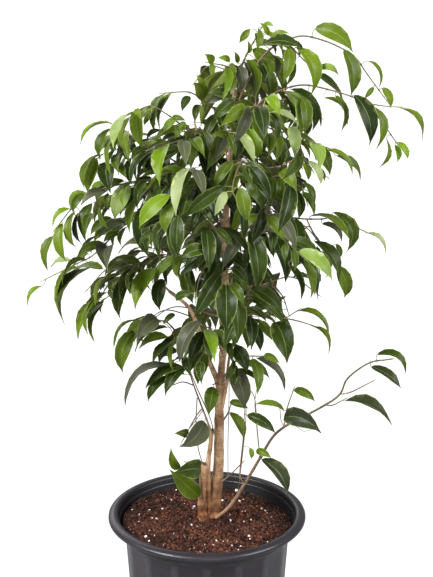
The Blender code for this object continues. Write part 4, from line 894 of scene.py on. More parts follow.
# %% Cells that leaves take
CELL = 0.0034
CORNER = np.array((-0.30, -0.27, 0.15))
CELL_COUNTS = (180, 170, 260)
SAMPLES = np.linspace(0.06, 0.98, 15)
SAMPLES_ACROSS = np.linspace(-0.95, 0.95, 6)
BLADE_ROOM, TRUNK_ROOM, TRUNK_STEP = 0.0012, 0.004, 0.002


def cells_at(points):
    """The cell of each point along x, y and z: (point - corner) / cell, rounded down."""
    return tuple(np.floor((points.reshape(-1, 3) - CORNER) / CELL).astype(int).T)


def cells_of(leaves):
    """The cells that these leaves pass through, sampled over the blade and a little above and below it."""
    point, side, facing = midribs(leaves, SAMPLES)
    half = 0.5 * np.interp(SAMPLES, STATIONS, FULLNESS) * leaves.width[:, None]
    spread = side[:, :, None] * (SAMPLES_ACROSS[:, None] * half[:, :, None, None])
    lift = facing[:, :, None] * np.array((-BLADE_ROOM, BLADE_ROOM))[:, None]
    return cells_at(point[:, :, None, None] + spread[:, :, :, None] + lift[:, :, None])


taken = np.zeros(CELL_COUNTS, bool)
for leaves in read.values():
    taken[cells_of(leaves)] = True
trunk_sides = TRUNK_ROOM * np.vstack([np.eye(3), -np.eye(3)])
taken[cells_at(smooth_line(TRUNK_LINE, TRUNK_STEP)[:, None] + trunk_sides[None])] = True
print(int(taken.sum()), "cells taken by the solids' leaves and the trunk")

# %% [markdown]
# A fig's leaf leaves its twig sideways and turns down, because the thin stalk can't hold the blade up. Its
# midrib is an arch that bulges upward and away from the trunk, and its upper side faces the sky and the
# light outside. Six random numbers from -1 to 1 make each leaf a little different.

# %% One more leaf by a rule
AXIS = 0.012
TWIGWARD, OUTWARD, OUTWARD_SPREAD, LOWEST_RISE = 0.5, 0.35, 0.6, -0.25
STALK_SHORT, STALK_BY_SIZE, STALK_RISE = 0.008, 0.004, 0.1
DROOP, DROOP_SPREAD = 0.95, 0.6
LEAF_LONG, LONG_SPREAD = 0.050, 0.010
LEAF_WIDE, WIDE_SPREAD = 0.33, 0.04
LIGHT_ABOVE, LIGHT_OUTSIDE, ROLL = 0.9, 0.8, 0.6
BULGE, ARCH, ARCH_SPREAD = 0.07, 0.13, 0.04


def outward_of(point):
    """Level direction away from the trunk."""
    return unit(np.array((point[0] - AXIS, point[1] - AXIS, 0.0)))


def leaf_by_rule(root, direction, number, draws, size):
    """One leaf that leaves the twig sideways, droops, arches and bends so that its tip hangs."""
    level = unit(np.cross(direction, UP) + 1e-6)
    level = level if number % 2 else -level
    out = unit(TWIGWARD * direction + level + (OUTWARD + OUTWARD_SPREAD * draws[0]) * outward_of(root))
    out[2] = max(out[2], LOWEST_RISE)
    base = root + unit(out + STALK_RISE * UP) * (STALK_SHORT + STALK_BY_SIZE * size)
    along = unit(out * (1.0, 1.0, 0.0) - (DROOP + DROOP_SPREAD * draws[1]) * UP)
    length = size * (LEAF_LONG + LONG_SPREAD * draws[2])
    sky = LIGHT_ABOVE * UP + outward_of(base)
    face = unit(sky - along * (along @ sky))
    face = math.cos(ROLL * draws[3]) * face + math.sin(ROLL * draws[3]) * np.cross(along, face)
    up = UP + LIGHT_OUTSIDE * outward_of(base)
    lift = length * (BULGE * face + (ARCH + ARCH_SPREAD * draws[4]) * unit(up - along * (along @ up)))
    tip = base + along * length
    width = (LEAF_WIDE + WIDE_SPREAD * draws[5]) * length
    bend = 0.5 * (base + tip) + 2 * lift
    return Leaves(*(np.array([value]) for value in (base, bend, tip, width, face, face)))


print("a rule leaf is", LEAF_LONG * MM, "mm long at full size, give or take", LONG_SPREAD * MM)

# %% [markdown]
# Each knot gets a few tries, each smaller than the last and on the other side of the twig. The stems at the
# plant's foot keep only the leaves that were measured, as the picture shows all of theirs.

# %% Try a leaf at every knot
KNOT = 0.0125
TRIES, SMALLER = 7, 0.05
FIRST_KNOT, FIRST_SIDE_KNOT = 0.25, 0.15
END_SMALLER = 0.35
MEASURED_ONLY = ("low_right_stem", "base_left_stem", "trunk_right_sprig", "trunk_bud_leaf")
ROOM_SHARES = (0.0, 0.3, 0.55, 0.8, 1.0)


def has_room(leaf):
    """Whether the picture's crown edge and the solids' box hold the leaf, and its cells are free."""
    spots = midribs(leaf, ROOM_SHARES)[0][0]
    inside_box = (spots >= cad_box[0]).all() and (spots <= cad_box[1]).all()
    return inside_crown(spots) and inside_box and not taken[cells_of(leaf)].any()


more = {name: [] for name in LEAFY}
for order, name in enumerate(LEAFY):
    for number, line in enumerate(() if name in MEASURED_ONLY else twig_lines[name]):
        first = FIRST_SIDE_KNOT if number else FIRST_KNOT
        knots = np.arange(int(first * len(line)), len(line), int(KNOT / TWIG_STEP))
        slopes = unit(np.gradient(line, axis=0))
        for index, knot in enumerate(knots):
            size = 1.0 - END_SMALLER * (knot / len(line)) ** 3
            for attempt in range(TRIES):
                draws = np.random.default_rng([11, order, number, index, attempt]).uniform(-1.0, 1.0, 6)
                leaf = leaf_by_rule(line[knot], slopes[knot], index + attempt, draws,
                                    size * (1 - SMALLER * attempt))
                if has_room(leaf):
                    taken[cells_of(leaf)] = True
                    more[name].append(leaf)
                    break
print(sum(len(found) for found in more.values()), "more leaves")

# %% [markdown]
# ## How old each leaf is
#
# Young leaves stand at the shoots' ends and on the outside of the crown, old ones inside. Where the
# picture shows a leaf that is plainly young, dark or dull, its place is noted here, and the leaf that the
# eye meets there takes that look. Each look has an age from 0 for old dark green to 1 for lime and a share
# of painted grey sheen, which stands for the reflection and shade that grey those leaves, and the looks go
# from the oldest leaves to the youngest.

# %% Looks by place
# each look: an age, a share of painted grey sheen that stands for reflection and shade, and the noted places
LOOKS = {
    "dusky": (0.0, 0.35, [(300, 424), (388, 378), (370, 408), (285, 470)]),
    "old": (0.05, 0.0, [(272, 120), (259, 120), (282, 210), (370, 125), (315, 105), (140, 160), (140, 225),
        (145, 235), (100, 290), (190, 285), (225, 305), (250, 335), (195, 345), (245, 352), (253, 250),
        (290, 44), (262, 70), (262, 92), (300, 275), (268, 185), (237, 150), (203, 155), (262, 420),
        (210, 240), (150, 165), (258, 333), (205, 262), (280, 95), (245, 270), (236, 262), (195, 270)]),
    "deep": (0.16, 0.0, [(207, 140), (255, 185), (180, 235), (108, 180), (118, 290), (160, 290), (205, 285),
        (200, 365), (185, 375), (172, 385), (225, 108), (222, 86), (185, 104), (194, 114), (305, 200),
        (325, 250), (390, 354), (102, 140), (85, 225), (285, 342), (160, 345), (150, 385), (183, 470),
        (312, 188), (72, 228)]),
    "dull": (0.28, 1.0, [(245, 114), (187, 148), (222, 150), (195, 172), (190, 240), (230, 245), (288, 238),
        (275, 207), (95, 195), (108, 262), (112, 222), (278, 64), (238, 76), (250, 80), (215, 98),
        (140, 328), (155, 370), (180, 342), (240, 385), (325, 220), (270, 366), (192, 437)]),
    "middling": (0.38, 0.0, [(228, 188), (248, 202), (270, 258), (276, 228), (340, 222), (345, 248),
        (312, 282), (345, 282), (385, 150), (338, 98), (335, 112), (77, 200), (45, 258), (97, 262),
        (350, 75), (340, 36), (330, 88), (288, 70), (130, 350), (265, 330), (212, 398), (300, 396),
        (172, 208), (222, 134), (150, 140), (278, 152), (62, 286)]),
    "fresh": (0.50, 0.0, [(301, 122), (306, 178), (345, 166), (90, 176), (120, 200), (60, 246), (85, 251),
        (134, 126), (122, 128), (158, 110), (197, 92), (207, 115), (218, 72), (225, 122), (252, 222),
        (384, 125), (414, 120), (372, 74), (387, 96), (265, 403), (270, 357), (248, 32), (260, 45),
        (283, 180), (123, 236), (140, 338), (320, 340), (320, 318)]),
    "lime": (0.70, 0.0, [(212, 340), (259, 140), (274, 105), (403, 150), (397, 155), (60, 216), (150, 207),
        (172, 260), (150, 282), (175, 122), (182, 130), (232, 72), (207, 59), (222, 58), (265, 22),
        (330, 66), (186, 208), (236, 224), (145, 190), (160, 176), (45, 292), (95, 133), (176, 268)]),
    "pale": (0.88, 0.0, [(250, 140), (290, 142), (288, 112), (297, 103), (178, 180), (218, 210), (316, 264),
        (312, 166), (325, 154), (375, 240), (55, 272), (112, 122), (128, 186)]),
}
NEAR = 9.0
CROWN_MIDDLE, CROWN_HALF, FURTHEST = (232, 245), (165, 190), 1.1
AGE_INSIDE, AGE_OUTSIDE, AGE_SPREAD, LOOK_SPREAD = 0.07, 0.38, 0.13, 0.04
PLACE_SHARES = (0.15, 0.45, 0.7)


def sights(places):
    """Directions from the eye through these picture points."""
    return seen([(*place, 0) for place in places]) - EYE


def looks_of(leaves, draws):
    """Each leaf's age and its share of painted grey sheen, both from 0 to 1.

    Leaves far from the crown's middle are somewhat younger. Each noted place goes to the leaf that a ray
    from the eye meets first, or else to the nearest midrib within NEAR picture points."""
    shown = pictured(midribs(leaves, PLACE_SHARES)[0])
    away = np.hypot(*((shown[:, 1] - CROWN_MIDDLE) / CROWN_HALF).T)
    ages = AGE_INSIDE + AGE_OUTSIDE * np.clip(away, 0, FURTHEST) ** 1.5 + AGE_SPREAD * draws[:, 2]
    painted_sheen = np.zeros(len(ages))
    points, upper = blades(leaves, draws), blade_faces()[0][0]
    faces = repeated(upper, points.shape[1], len(ages))
    tree = BVHTree.FromPolygons(points.reshape(-1, 3).tolist(), faces.tolist())
    for age, share, places in LOOKS.values():
        gap = np.linalg.norm(shown[:, :, None] - np.asarray(places, float), axis=3).min(axis=1)
        nearest = np.where(gap.min(axis=0) < NEAR, gap.argmin(axis=0), -1)
        met = [tree.ray_cast(EYE, sight)[2] for sight in sights(places)]
        chosen = np.array([near if face is None else face // len(upper) for face, near in zip(met, nearest)])
        chosen = chosen[chosen >= 0]
        ages[chosen] = age + LOOK_SPREAD * draws[chosen, 2]
        # the chosen leaves take this look's share of painted grey sheen
        painted_sheen[chosen] = share
    return ages, painted_sheen


def merged(groups):
    """Several groups of leaves, end to end, as one."""
    return Leaves(*(np.concatenate(column) for column in zip(*groups)))


all_leaves = merged([merged([read[name], *more[name]]) for name in LEAFY])
all_draws = np.random.default_rng(5).uniform(-1.0, 1.0, (len(all_leaves.tip), 4))
all_ages, all_painted_sheen = looks_of(all_leaves, all_draws)
print(len(all_ages), "leaves in all,", int((all_painted_sheen > 0).sum()), "with a bloom")

# %% [markdown]
# ## Twigs, buds and whole stems
#
# A fig's twig swells a little at each leaf and ends in a pointed sheath that wraps the next leaf. The
# tube's radius follows that: it tapers evenly, gains a small hump near every stalk and runs out to a point.

# %% A twig with its humps and sheath
TWIG_SIDES = 7
HUMP, HUMP_REACH = 0.35, 0.0016
SHEATH = 0.010
SHEATH_SHARES, SHEATH_FULLNESS = np.array((0.15, 0.4, 0.7, 1.0)), np.array((1.15, 1.1, 0.7, 0.15))
SHEATH_AGE, TIP_AGE = 0.85, 0.9


def add_twig(bundle, line, thick, thin, roots, age):
    """A tapering twig: radius = even taper * (1 + hump at each stalk), then a sheath that runs to a point."""
    end = unit(line[-1] - line[-3])
    sheath = line[-1] + end * SHEATH * SHEATH_SHARES[:, None]
    gap = np.full(len(line), 1.0)
    if len(roots):
        gap = np.linalg.norm(line[:, None] - roots[None], axis=2).min(axis=1)
    share = np.linspace(0.0, 1.0, len(line))
    radii = (thick + (thin - thick) * share) * (1.0 + HUMP * np.exp(-((gap / HUMP_REACH) ** 2)))
    radii = np.concatenate([radii, thin * SHEATH_FULLNESS])
    points, faces = tube(np.vstack([line, sheath]), radii, TWIG_SIDES)
    ages = np.concatenate([age * share**1.5, np.full(len(SHEATH_SHARES), SHEATH_AGE)])
    bundle.add(points, faces, 1, None, np.concatenate([np.repeat(ages, TWIG_SIDES), [0.0, TIP_AGE]]))


print("a twig swells by", HUMP, "of its radius at a stalk and its sheath is", SHEATH * MM, "mm long")

# %% One piece for each stem
MAIN_TWIG, SIDE_TWIG = (0.0016, 0.0007), (0.0011, 0.0007)
THICKER = {"low_right_stem": (0.0027, 0.0010)}
MAIN_AGE = 0.75
start = 0
for name in LEAFY:
    own = slice(start, start + len(read[name].tip) + len(more[name]))
    start = own.stop
    leaves, draws = Leaves(*(column[own] for column in all_leaves)), all_draws[own]
    spots = np.vstack(twig_lines[name])
    roots = spots[np.argmin(np.linalg.norm(leaves.base[:, None] - spots[None], axis=2), axis=1)]
    stem = Bundle()
    add_leaves(stem, leaves, roots, all_ages[own], 0.5 + 0.5 * draws[:, 3], all_painted_sheen[own], draws)
    for number, line in enumerate(twig_lines[name]):
        thick, thin = SIDE_TWIG if number else THICKER.get(name, MAIN_TWIG)
        add_twig(stem, line, thick, thin, roots, MAIN_AGE)
    stem.piece(name.rsplit("_", 1)[0] + "_foliage", [LEAF, TWIG], [name], sharp=70.0)

# %% [markdown]
# ## Trunk
#
# The trunk, its bare left branch, the slim stem that grew against it, the cut second stem and the broken
# stump are tubes with many sides. Bark isn't round: each ring's radius wavers with the angle and the
# height, it swells where a twig leaves, and the two cut ends are ragged and dark.

# %% Woody stems
WOOD_STEP = 0.0025
WOOD_SIDES = 28
KNOT_SWELL, KNOT_REACH = 0.16, 0.006
FLARE, FLARE_HIGH = 0.10, 0.018
RAGGED, FLARED = ("second_stem", "stump"), ("main", "stump")
CUT_LOW, CUT_HIGH, CUT_HOLLOW, CUT_DARK = -0.0015, 0.0030, 0.0012, 0.8
WAVERS = ((0.050, 2, 40), (0.035, 3, -65), (0.020, 5, 210))
RIPPLE, RIPPLES, ROUGH = 0.025, 330, 0.015
rng = np.random.default_rng(21)
twig_starts = np.array([lines[0][0] for lines in twig_lines.values()])


def bark_waver(angle, up, phase, rings):
    """Shares of the radius: sines of (turns * angle + rise * height + phase), ripples and a random part."""
    waver = sum(share * np.sin(turns * angle + rise * up + shift)
                for (share, turns, rise), shift in zip(WAVERS, phase))
    waver = waver + RIPPLE * np.sin(RIPPLES * up + phase[3] + np.sin(angle))
    return waver + ROUGH * rng.uniform(-1, 1, (rings, WOOD_SIDES))


trunk = Bundle()
for name, places in WOOD.items():
    radii = np.asarray(places, float)[:, 3:] / MM
    line = smooth_line(np.hstack([seen(places), radii]), WOOD_STEP)
    line, radii = line[:, :3], line[:, 3]
    gap = np.linalg.norm(line[:, None] - twig_starts[None], axis=2).min(axis=1)
    swell = 1.0 + KNOT_SWELL * np.exp(-((gap / KNOT_REACH) ** 2))
    angle, up = round_angles(WOOD_SIDES)[None], np.arange(len(line))[:, None] * WOOD_STEP
    phase = rng.uniform(0.0, 6.0, 8)
    waver = bark_waver(angle, up, phase, len(line))
    flare = FLARE * np.exp(-up / FLARE_HIGH) * np.sin(4 * angle + phase[4]) if name in FLARED else 0.0
    radii = radii[:, None] * swell[:, None] * (1 + waver + flare)
    points, faces = tube(line, radii, WOOD_SIDES, name in RAGGED)
    dark = np.zeros(len(points))
    if name in RAGGED:
        top = slice((len(line) - 1) * WOOD_SIDES, len(line) * WOOD_SIDES)
        rise = unit(line[-1] - line[-3])
        points[top] += rise * rng.uniform(CUT_LOW, CUT_HIGH, (WOOD_SIDES, 1))
        points[-1] -= rise * CUT_HOLLOW
        dark[top], dark[-1] = CUT_DARK, 1.0
    trunk.add(points, faces, 0, None, dark)
trunk.piece("woody_trunk", [BARK], ["trunk"], sharp=60.0)

# %% [markdown]
# ## Fine sprouts and hanging roots
#
# Between the trunk and the low branch the plant has bare sprouts and a few thin roots that hang from the
# crown, as figs have. They are the same kind of tube, only thinner. Each row holds measured places, a
# radius in millimetres and an age.

# %% Bare sprouts
SPROUTS = [
    ([(197, 398, -6), (196, 425, -4), (198, 447, -2), (202, 462, 0)], 0.9, 0.35),
    ([(188, 366, -18), (197, 388, -12), (209, 415, -4), (214, 432, 2)], 0.9, 0.45),
    ([(203, 410, -6), (196, 420, -12), (188, 430, -18)], 0.7, 0.1),
    ([(229, 372, 6), (229, 400, 4), (228, 440, 4), (228, 472, 6)], 0.7, 0.5),
    ([(244, 385, 10), (246, 415, 10), (243, 450, 8), (238, 492, 6)], 0.8, 0.35),
    ([(249, 388, 0), (255, 400, -4), (257, 430, -8), (259, 450, -14)], 0.8, 0.4),
    ([(262, 368, -10), (255, 400, -10), (257, 425, -12), (259, 446, -14)], 0.6, 0.4),
    ([(221, 482, 6), (231, 474, 4), (241, 464, 0)], 1, 0.5),
    ([(163, 322, -42), (170, 328, -36), (174, 336, -32)], 0.6, 0.6),
    ([(236, 322, -10), (248, 317, -22), (262, 317, -34)], 0.6, 0.7),
    ([(284, 427, -26), (281, 420, -28), (280, 410, -30)], 0.7, 0.3),
    ([(292, 423, -27), (303, 431, -30), (312, 429, -34)], 0.5, 0.5),
]
sprouts = Bundle()
for places, radius, age in SPROUTS:
    thick = radius / MM
    add_twig(sprouts, smooth_line(seen(places), TWIG_STEP), thick, 0.8 * thick, (), age)
sprouts.piece("bare_sprouts", [TWIG, TWIG])

# %% [markdown]
# ## Pot
#
# A nursery pot is one thin moulding: a rolled rim, a short collar under it and a wall with upright flutes
# that stiffen it. Its wall is a profile turned round the axis. Moulded plastic has no sharp corners, so
# each corner of the profile becomes a short curve, and the flutes press the wall in between its ribs.

# %% Rounded profiles, and shells turned from them
CORNER_SHARE = 0.45


def rounded(profile, cut, steps=5):
    """Each inner corner becomes a quadratic curve between points `cut` before and behind it."""
    profile = np.asarray(profile, float)
    before, corner, after = profile[:-2], profile[1:-1], profile[2:]
    ends = []
    for away in (before - corner, after - corner):
        reach = np.minimum(cut, CORNER_SHARE * np.linalg.norm(away, axis=1, keepdims=True))
        ends.append((corner + unit(away) * reach)[:, None])
    bends = bent(ends[0], corner[:, None], ends[1], np.linspace(0.0, 1.0, steps)[None, :, None])
    return np.vstack([profile[:1], bends.reshape(-1, 2), profile[-1:]])


def turned(profile, sides, press):
    """A closed shell: radius and height turned round the axis, where the profile starts and ends."""
    radius, height = profile[1:-1, :1], profile[1:-1, 1:]
    angle = round_angles(sides)[None]
    radius = radius + np.zeros((1, sides)) - press(radius, height, angle)
    heights = np.broadcast_to(height, radius.shape)
    points = np.stack([radius * np.cos(angle), radius * np.sin(angle), heights], -1)
    ends = np.array([(0, 0, profile[0, 1]), (0, 0, profile[-1, 1])])
    return np.vstack([points.reshape(-1, 3), ends]), tube_faces(len(height), sides)


print(len(rounded([(0, 0), (1, 0), (1, 1), (0, 1)], 0.1)), "points on a square's rounded profile")

# %% The pot's sizes and profile
POT_HEIGHT, RIM, RIM_CROWN, LIP = 0.246, 0.1412, 0.1345, 0.009
MOUTH, COLLAR, COLLAR_HIGH, STEP_HIGH = 0.1272, 0.1245, 0.015, 0.003
BODY_TOP, BASE, WALL = 0.1180, 0.1030, 0.0025
LIP_LOW = POT_HEIGHT - LIP
COLLAR_LOW = LIP_LOW - COLLAR_HIGH
FLUTES, FLUTE_DEPTH, FLUTE_FULLNESS = 16, 0.0019, 0.6
FLUTE_FOOT, FLUTE_FOOT_FADE, FLUTE_TOP, FLUTE_TOP_FADE = 0.008, 0.006, 0.0015, 0.004
POT_SIDES, POT_CORNER = 192, 0.0030


def wall_radius(height):
    """The body's radius: an even slope from BASE at the foot to BODY_TOP at the collar."""
    return BASE + (BODY_TOP - BASE) * height / COLLAR_LOW


def flutes(radius, height, angle):
    """How far the wall is pressed in: broad shallow grooves between narrow ribs, fading out at both ends."""
    groove = (0.5 - 0.5 * np.cos(FLUTES * angle)) ** FLUTE_FULLNESS
    foot = np.clip((height - FLUTE_FOOT) / FLUTE_FOOT_FADE, 0, 1)
    fade = foot * np.clip((COLLAR_LOW - FLUTE_TOP - height) / FLUTE_TOP_FADE, 0, 1)
    outer = radius > wall_radius(height) - 0.5 * WALL
    return FLUTE_DEPTH * groove * fade * outer


profile = rounded([
    (0.0, 0.0), (BASE - 0.004, 0.0), (BASE, 0.004), *((wall_radius(z), z) for z in (0.012, 0.06, 0.13, 0.20)),
    (BODY_TOP, COLLAR_LOW - STEP_HIGH), (COLLAR, COLLAR_LOW - 0.0010), (COLLAR, LIP_LOW),
    (RIM - 0.0004, LIP_LOW - 0.0003), (RIM, POT_HEIGHT - 0.0035), (RIM_CROWN, POT_HEIGHT + 0.0004),
    (MOUTH, POT_HEIGHT - 0.0010), (COLLAR - WALL, COLLAR_LOW), (BODY_TOP - WALL, COLLAR_LOW - STEP_HIGH),
    (wall_radius(WALL) - WALL, WALL), (0.0, WALL),
], POT_CORNER)
print(len(profile), "points on the pot's profile")

# %% [markdown]
# The plastic is charcoal, lighter on the ribs with a painted highlight that stands for the light streaks
# they catch, and darkest inside with painted shade. The flutes' pattern is found again from the angle of
# each place, so the painted highlights stand on the real ribs.

# %% Charcoal plastic
def pot_finish():
    """Charcoal plastic with a cloud of dust and scuffs, a painted highlight on its ribs, duller with painted
    shade inside.
    """
    made, tree, shader = finish("charcoal_plastic", 0.42, 0.42)
    places = object_places(tree)
    cloud = noise(places, 14.0, 4.0)
    scuff = between(noise(scaled(places, 1.0, 1.0, 6.0), 55.0, 5.0), 0.58, 0.78)
    colour = ramp(cloud, (0.3, (0.014, 0.012, 0.016)), (0.75, (0.026, 0.023, 0.029)))
    colour = coated(colour, scuff, 0.25, (0.080, 0.078, 0.086))
    x, y, height = add(tree, "ShaderNodeSeparateXYZ", places).node.outputs
    # painted highlight: the ribs below the collar are lightened to stand for the light streaks that they
    # catch
    rib = between(maths("COSINE", times(maths("ARCTAN2", y, x), FLUTES)), 0.50, 0.98)
    below_collar = between(height, COLLAR_LOW - 0.010, COLLAR_LOW - 0.004, 0.28, 0.0)
    colour = coated(colour, rib, below_collar, (0.085, 0.080, 0.094))
    # painted shade: the inside of the pot is coated almost black, and its roughness is raised there
    unlit = stored(tree, "age")
    colour = coated(colour, unlit, 0.92, (0.002, 0.002, 0.003))
    matt = plus(between(cloud, 0.3, 0.8, 0.30, 0.42), times(unlit, 0.12))
    return complete(made, shader, colour, noise(places, 480.0, 2.0), 0.12, 0.0003, matt)


pot = Bundle()
inside = np.arange(1, len(profile) - 1) > np.argmax(profile[:, 1]) + 2
inside = np.concatenate([np.repeat(inside, POT_SIDES), [False, True]]).astype(float)
pot.add(*turned(profile, POT_SIDES, flutes), 0, None, inside)
pot.piece("nursery_pot", [pot_finish()], ["pot"], sharp=40.0)

# %% [markdown]
# ## Soil
#
# Potting mix is a heap of crumbs, so it has two parts here: a bed whose top is lumpy on three scales, and
# loose crumbs, fibres and white perlite grains that lie half sunk in it. The lumps are value noise: random
# numbers on the corners of a square grid, blended smoothly in between.

# %% The soil's height
SOIL_LEVEL, SOIL_LOWEST, SOIL_SLOPE, SOIL_RISE = 0.2240, 0.2235, 0.055, 0.030
MOUND, MOUND_WIDE, SOIL_WAVE = 0.0065, 0.045, 0.0012
CROWN_X, CROWN_Y = 0.0035, 0.0150
LUMP_CORNERS = 256
LUMPS = ((0.0022, 0.0075, 1), (0.0020, 0.0032, 2), (0.0010, 0.0017, 3))


def lumps(x, y, cell, seed):
    """Value noise from 0 to 1: four random corner numbers blended by the smooth share 3t^2 - 2t^3."""
    corners = np.random.default_rng(seed).uniform(0.0, 1.0, (LUMP_CORNERS, LUMP_CORNERS))
    u, v = x / cell + LUMP_CORNERS / 2, y / cell + LUMP_CORNERS / 2
    i, j = np.floor(u).astype(int), np.floor(v).astype(int)
    s, t = u - i, v - j
    s, t = s * s * (3 - 2 * s), t * t * (3 - 2 * t)
    low = corners[i, j] * (1 - s) + corners[i + 1, j] * s
    high = corners[i, j + 1] * (1 - s) + corners[i + 1, j + 1] * s
    return low * (1 - t) + high * t


def soil_height(x, y):
    """The packed soil's surface: a tilted plane with low waves, and a mound round the trunk."""
    away = np.hypot(x - CROWN_X, y - CROWN_Y)
    waves = SOIL_WAVE * (np.sin(61 * x + 1.3) * np.cos(53 * y) + np.sin(97 * y + 44 * x))
    level = np.maximum(SOIL_LOWEST, SOIL_LEVEL - SOIL_SLOPE * x + SOIL_RISE * y + waves)
    return level + MOUND * np.exp(-((away / MOUND_WIDE) ** 2))


def lumpy_height(x, y):
    """The surface with lumps of three sizes: height * (noise - 0.5) for each row of LUMPS."""
    return soil_height(x, y) + sum(high * (lumps(x, y, cell, seed) - 0.5) for high, cell, seed in LUMPS)


middle_height = lumpy_height(np.zeros(1), np.zeros(1))[0]
print("the soil's middle is", round(middle_height * MM, 1), "mm up")

# %% The bed
SOIL_RINGS, SOIL_SIDES = 84, 200
SOIL_GAP, SKIRT_GAP, SOIL_FLOOR, LAST_RING = 0.0006, 0.002, WALL + 0.0003, 0.0015
soil_radius = COLLAR - WALL - SOIL_GAP
rings = np.linspace(soil_radius, LAST_RING, SOIL_RINGS)[:, None]
angle = (np.arange(SOIL_SIDES) + 0.5) * 2 * math.pi / SOIL_SIDES
x, y = rings * np.cos(angle), rings * np.sin(angle)
skirt = np.array([(wall_radius(WALL) - WALL - SKIRT_GAP, SOIL_FLOOR),
                  (BODY_TOP - WALL - SKIRT_GAP, COLLAR_LOW - STEP_HIGH)])
skirt_radius, skirt_height = skirt[:, :1], np.repeat(skirt[:, 1:], SOIL_SIDES, axis=1)
bed_grid = np.concatenate([
    np.stack([skirt_radius * np.cos(angle), skirt_radius * np.sin(angle), skirt_height], axis=-1),
    np.stack([x, y, lumpy_height(x, y)], axis=-1),
])
bed_points = np.vstack([bed_grid.reshape(-1, 3), [(0, 0, SOIL_FLOOR), (0, 0, middle_height)]])


def soil_finish():
    """Dark red-brown peat, rusty on its crumbs, with painted shade that makes its hollows almost black and
    darkens it near the wall.
    """
    made, tree, shader = finish("potting_mix", 0.93, 0.25)
    places = object_places(tree)
    crumb = noise(places, 420.0, 4.0)
    # the tone follows the crumbs' bumps, so its low end is the peat's own dark colour together with painted
    # shade in the hollows
    tone = varied(plus(times(noise(places, 30.0), 0.45), times(crumb, 0.55)), stored(tree, "shade"), 0.6)
    colour = ramp(tone, (0.30, (0.007, 0.0030, 0.0025)), (0.48, (0.036, 0.0115, 0.0068)),
                  (0.62, (0.092, 0.030, 0.017)), (0.85, (0.23, 0.084, 0.042)))
    away = add(tree, "ShaderNodeVectorMath", scaled(places, 1.0, 1.0, 0.0), out=1, operation="LENGTH")
    # painted shadow: the soil is darkened in a ring near the pot's wall
    colour = mix(between(away, 0.085, 0.120, 0.0, 0.55), colour, (0.012, 0.0045, 0.0035))
    return complete(made, shader, colour, crumb, 1.0, 0.0022)


SOIL = soil_finish()
bed = Bundle()
bed.add(bed_points, tube_faces(len(bed_grid), SOIL_SIDES))
bed.piece("soil_bed", [SOIL], ["soil"])

# %% [markdown]
# ## Crumbs, fibres and perlite
#
# A crumb is an eight-faced lump stretched at random. All crumbs share one list of faces, and their points
# are worked out together: a place on the bed, a size, and a random reach for each of the six corners. The
# perlite grains are rounder, so they start from a twelve-pointed ball. The fibres are thin tubes that lie
# where the picture shows them.

# %% Scattered grains
OCTA = np.array([(1, 0, 0), (0, 1, 0), (-1, 0, 0), (0, -1, 0), (0, 0, 1), (0, 0, -1)], float)
OCTA_FACES = np.array([(0, 1, 4), (1, 2, 4), (2, 3, 4), (3, 0, 4),
                       (1, 0, 5), (2, 1, 5), (3, 2, 5), (0, 3, 5)])
GOLDEN = (1 + math.sqrt(5)) / 2
BALL = unit(np.array([(-1, GOLDEN, 0), (1, GOLDEN, 0), (-1, -GOLDEN, 0), (1, -GOLDEN, 0), (0, -1, GOLDEN),
                      (0, 1, GOLDEN), (0, -1, -GOLDEN), (0, 1, -GOLDEN), (GOLDEN, 0, -1), (GOLDEN, 0, 1),
                      (-GOLDEN, 0, -1), (-GOLDEN, 0, 1)], float))
BALL_FACES = np.array([(0, 11, 5), (0, 5, 1), (0, 1, 7), (0, 7, 10), (0, 10, 11), (1, 5, 9), (5, 11, 4),
                       (11, 10, 2), (10, 7, 6), (7, 1, 8), (3, 9, 4), (3, 4, 2), (3, 2, 6), (3, 6, 8),
                       (3, 8, 9), (4, 9, 5), (2, 4, 11), (6, 2, 10), (8, 6, 7), (9, 8, 1)])
RIM_CLEAR, BARE_SHARE = 0.003, 0.004
MOSTLY_SMALL = 2.2
STRETCH, CORNER_REACH = (0.7, 1.3), (0.75, 1.15)


def scatter(bundle, shape, faces, count, sizes, seed, sunk):
    """Copies of a lump: place + size * turned corner * random reach. Places fill the disc evenly."""
    draw = np.random.default_rng(seed)
    radius = (soil_radius - RIM_CLEAR) * np.sqrt(draw.uniform(BARE_SHARE, 1.0, count))
    turn = draw.uniform(0, 2 * math.pi, count)
    x, y = radius * np.cos(turn), radius * np.sin(turn)
    size = sizes[0] + (sizes[1] - sizes[0]) * draw.uniform(0, 1, count) ** MOSTLY_SMALL
    frames = np.linalg.qr(draw.normal(size=(count, 3, 3)))[0]
    frames[:, :, 0] *= np.sign(np.linalg.det(frames))[:, None]
    stretch = draw.uniform(*STRETCH, (count, 1, 3))
    corners = shape[None] * stretch * draw.uniform(*CORNER_REACH, (count, len(shape), 1))
    corners = np.einsum("nij,nkj->nki", frames, corners) * size[:, None, None]
    place = np.stack([x, y, lumpy_height(x, y) + size * (0.5 - sunk)], axis=1)
    shade = np.repeat(draw.uniform(0, 1, count), len(shape))
    points = (corners + place[:, None]).reshape(-1, 3)
    bundle.add(points, [repeated(faces, len(shape), count)], 0, None, 0.0, shade)


def perlite_finish():
    """White, slightly dusty grains of foamed glass."""
    made, tree, shader = finish("perlite_white", 0.85, 0.3)
    dust = noise(object_places(tree), 500.0)
    colour = ramp(dust, (0.3, (0.58, 0.47, 0.42)), (0.6, (0.86, 0.82, 0.78)))
    return complete(made, shader, colour, dust, 0.5, 0.0005)


print(len(OCTA_FACES), "faces in a crumb,", len(BALL_FACES), "in a grain of perlite")

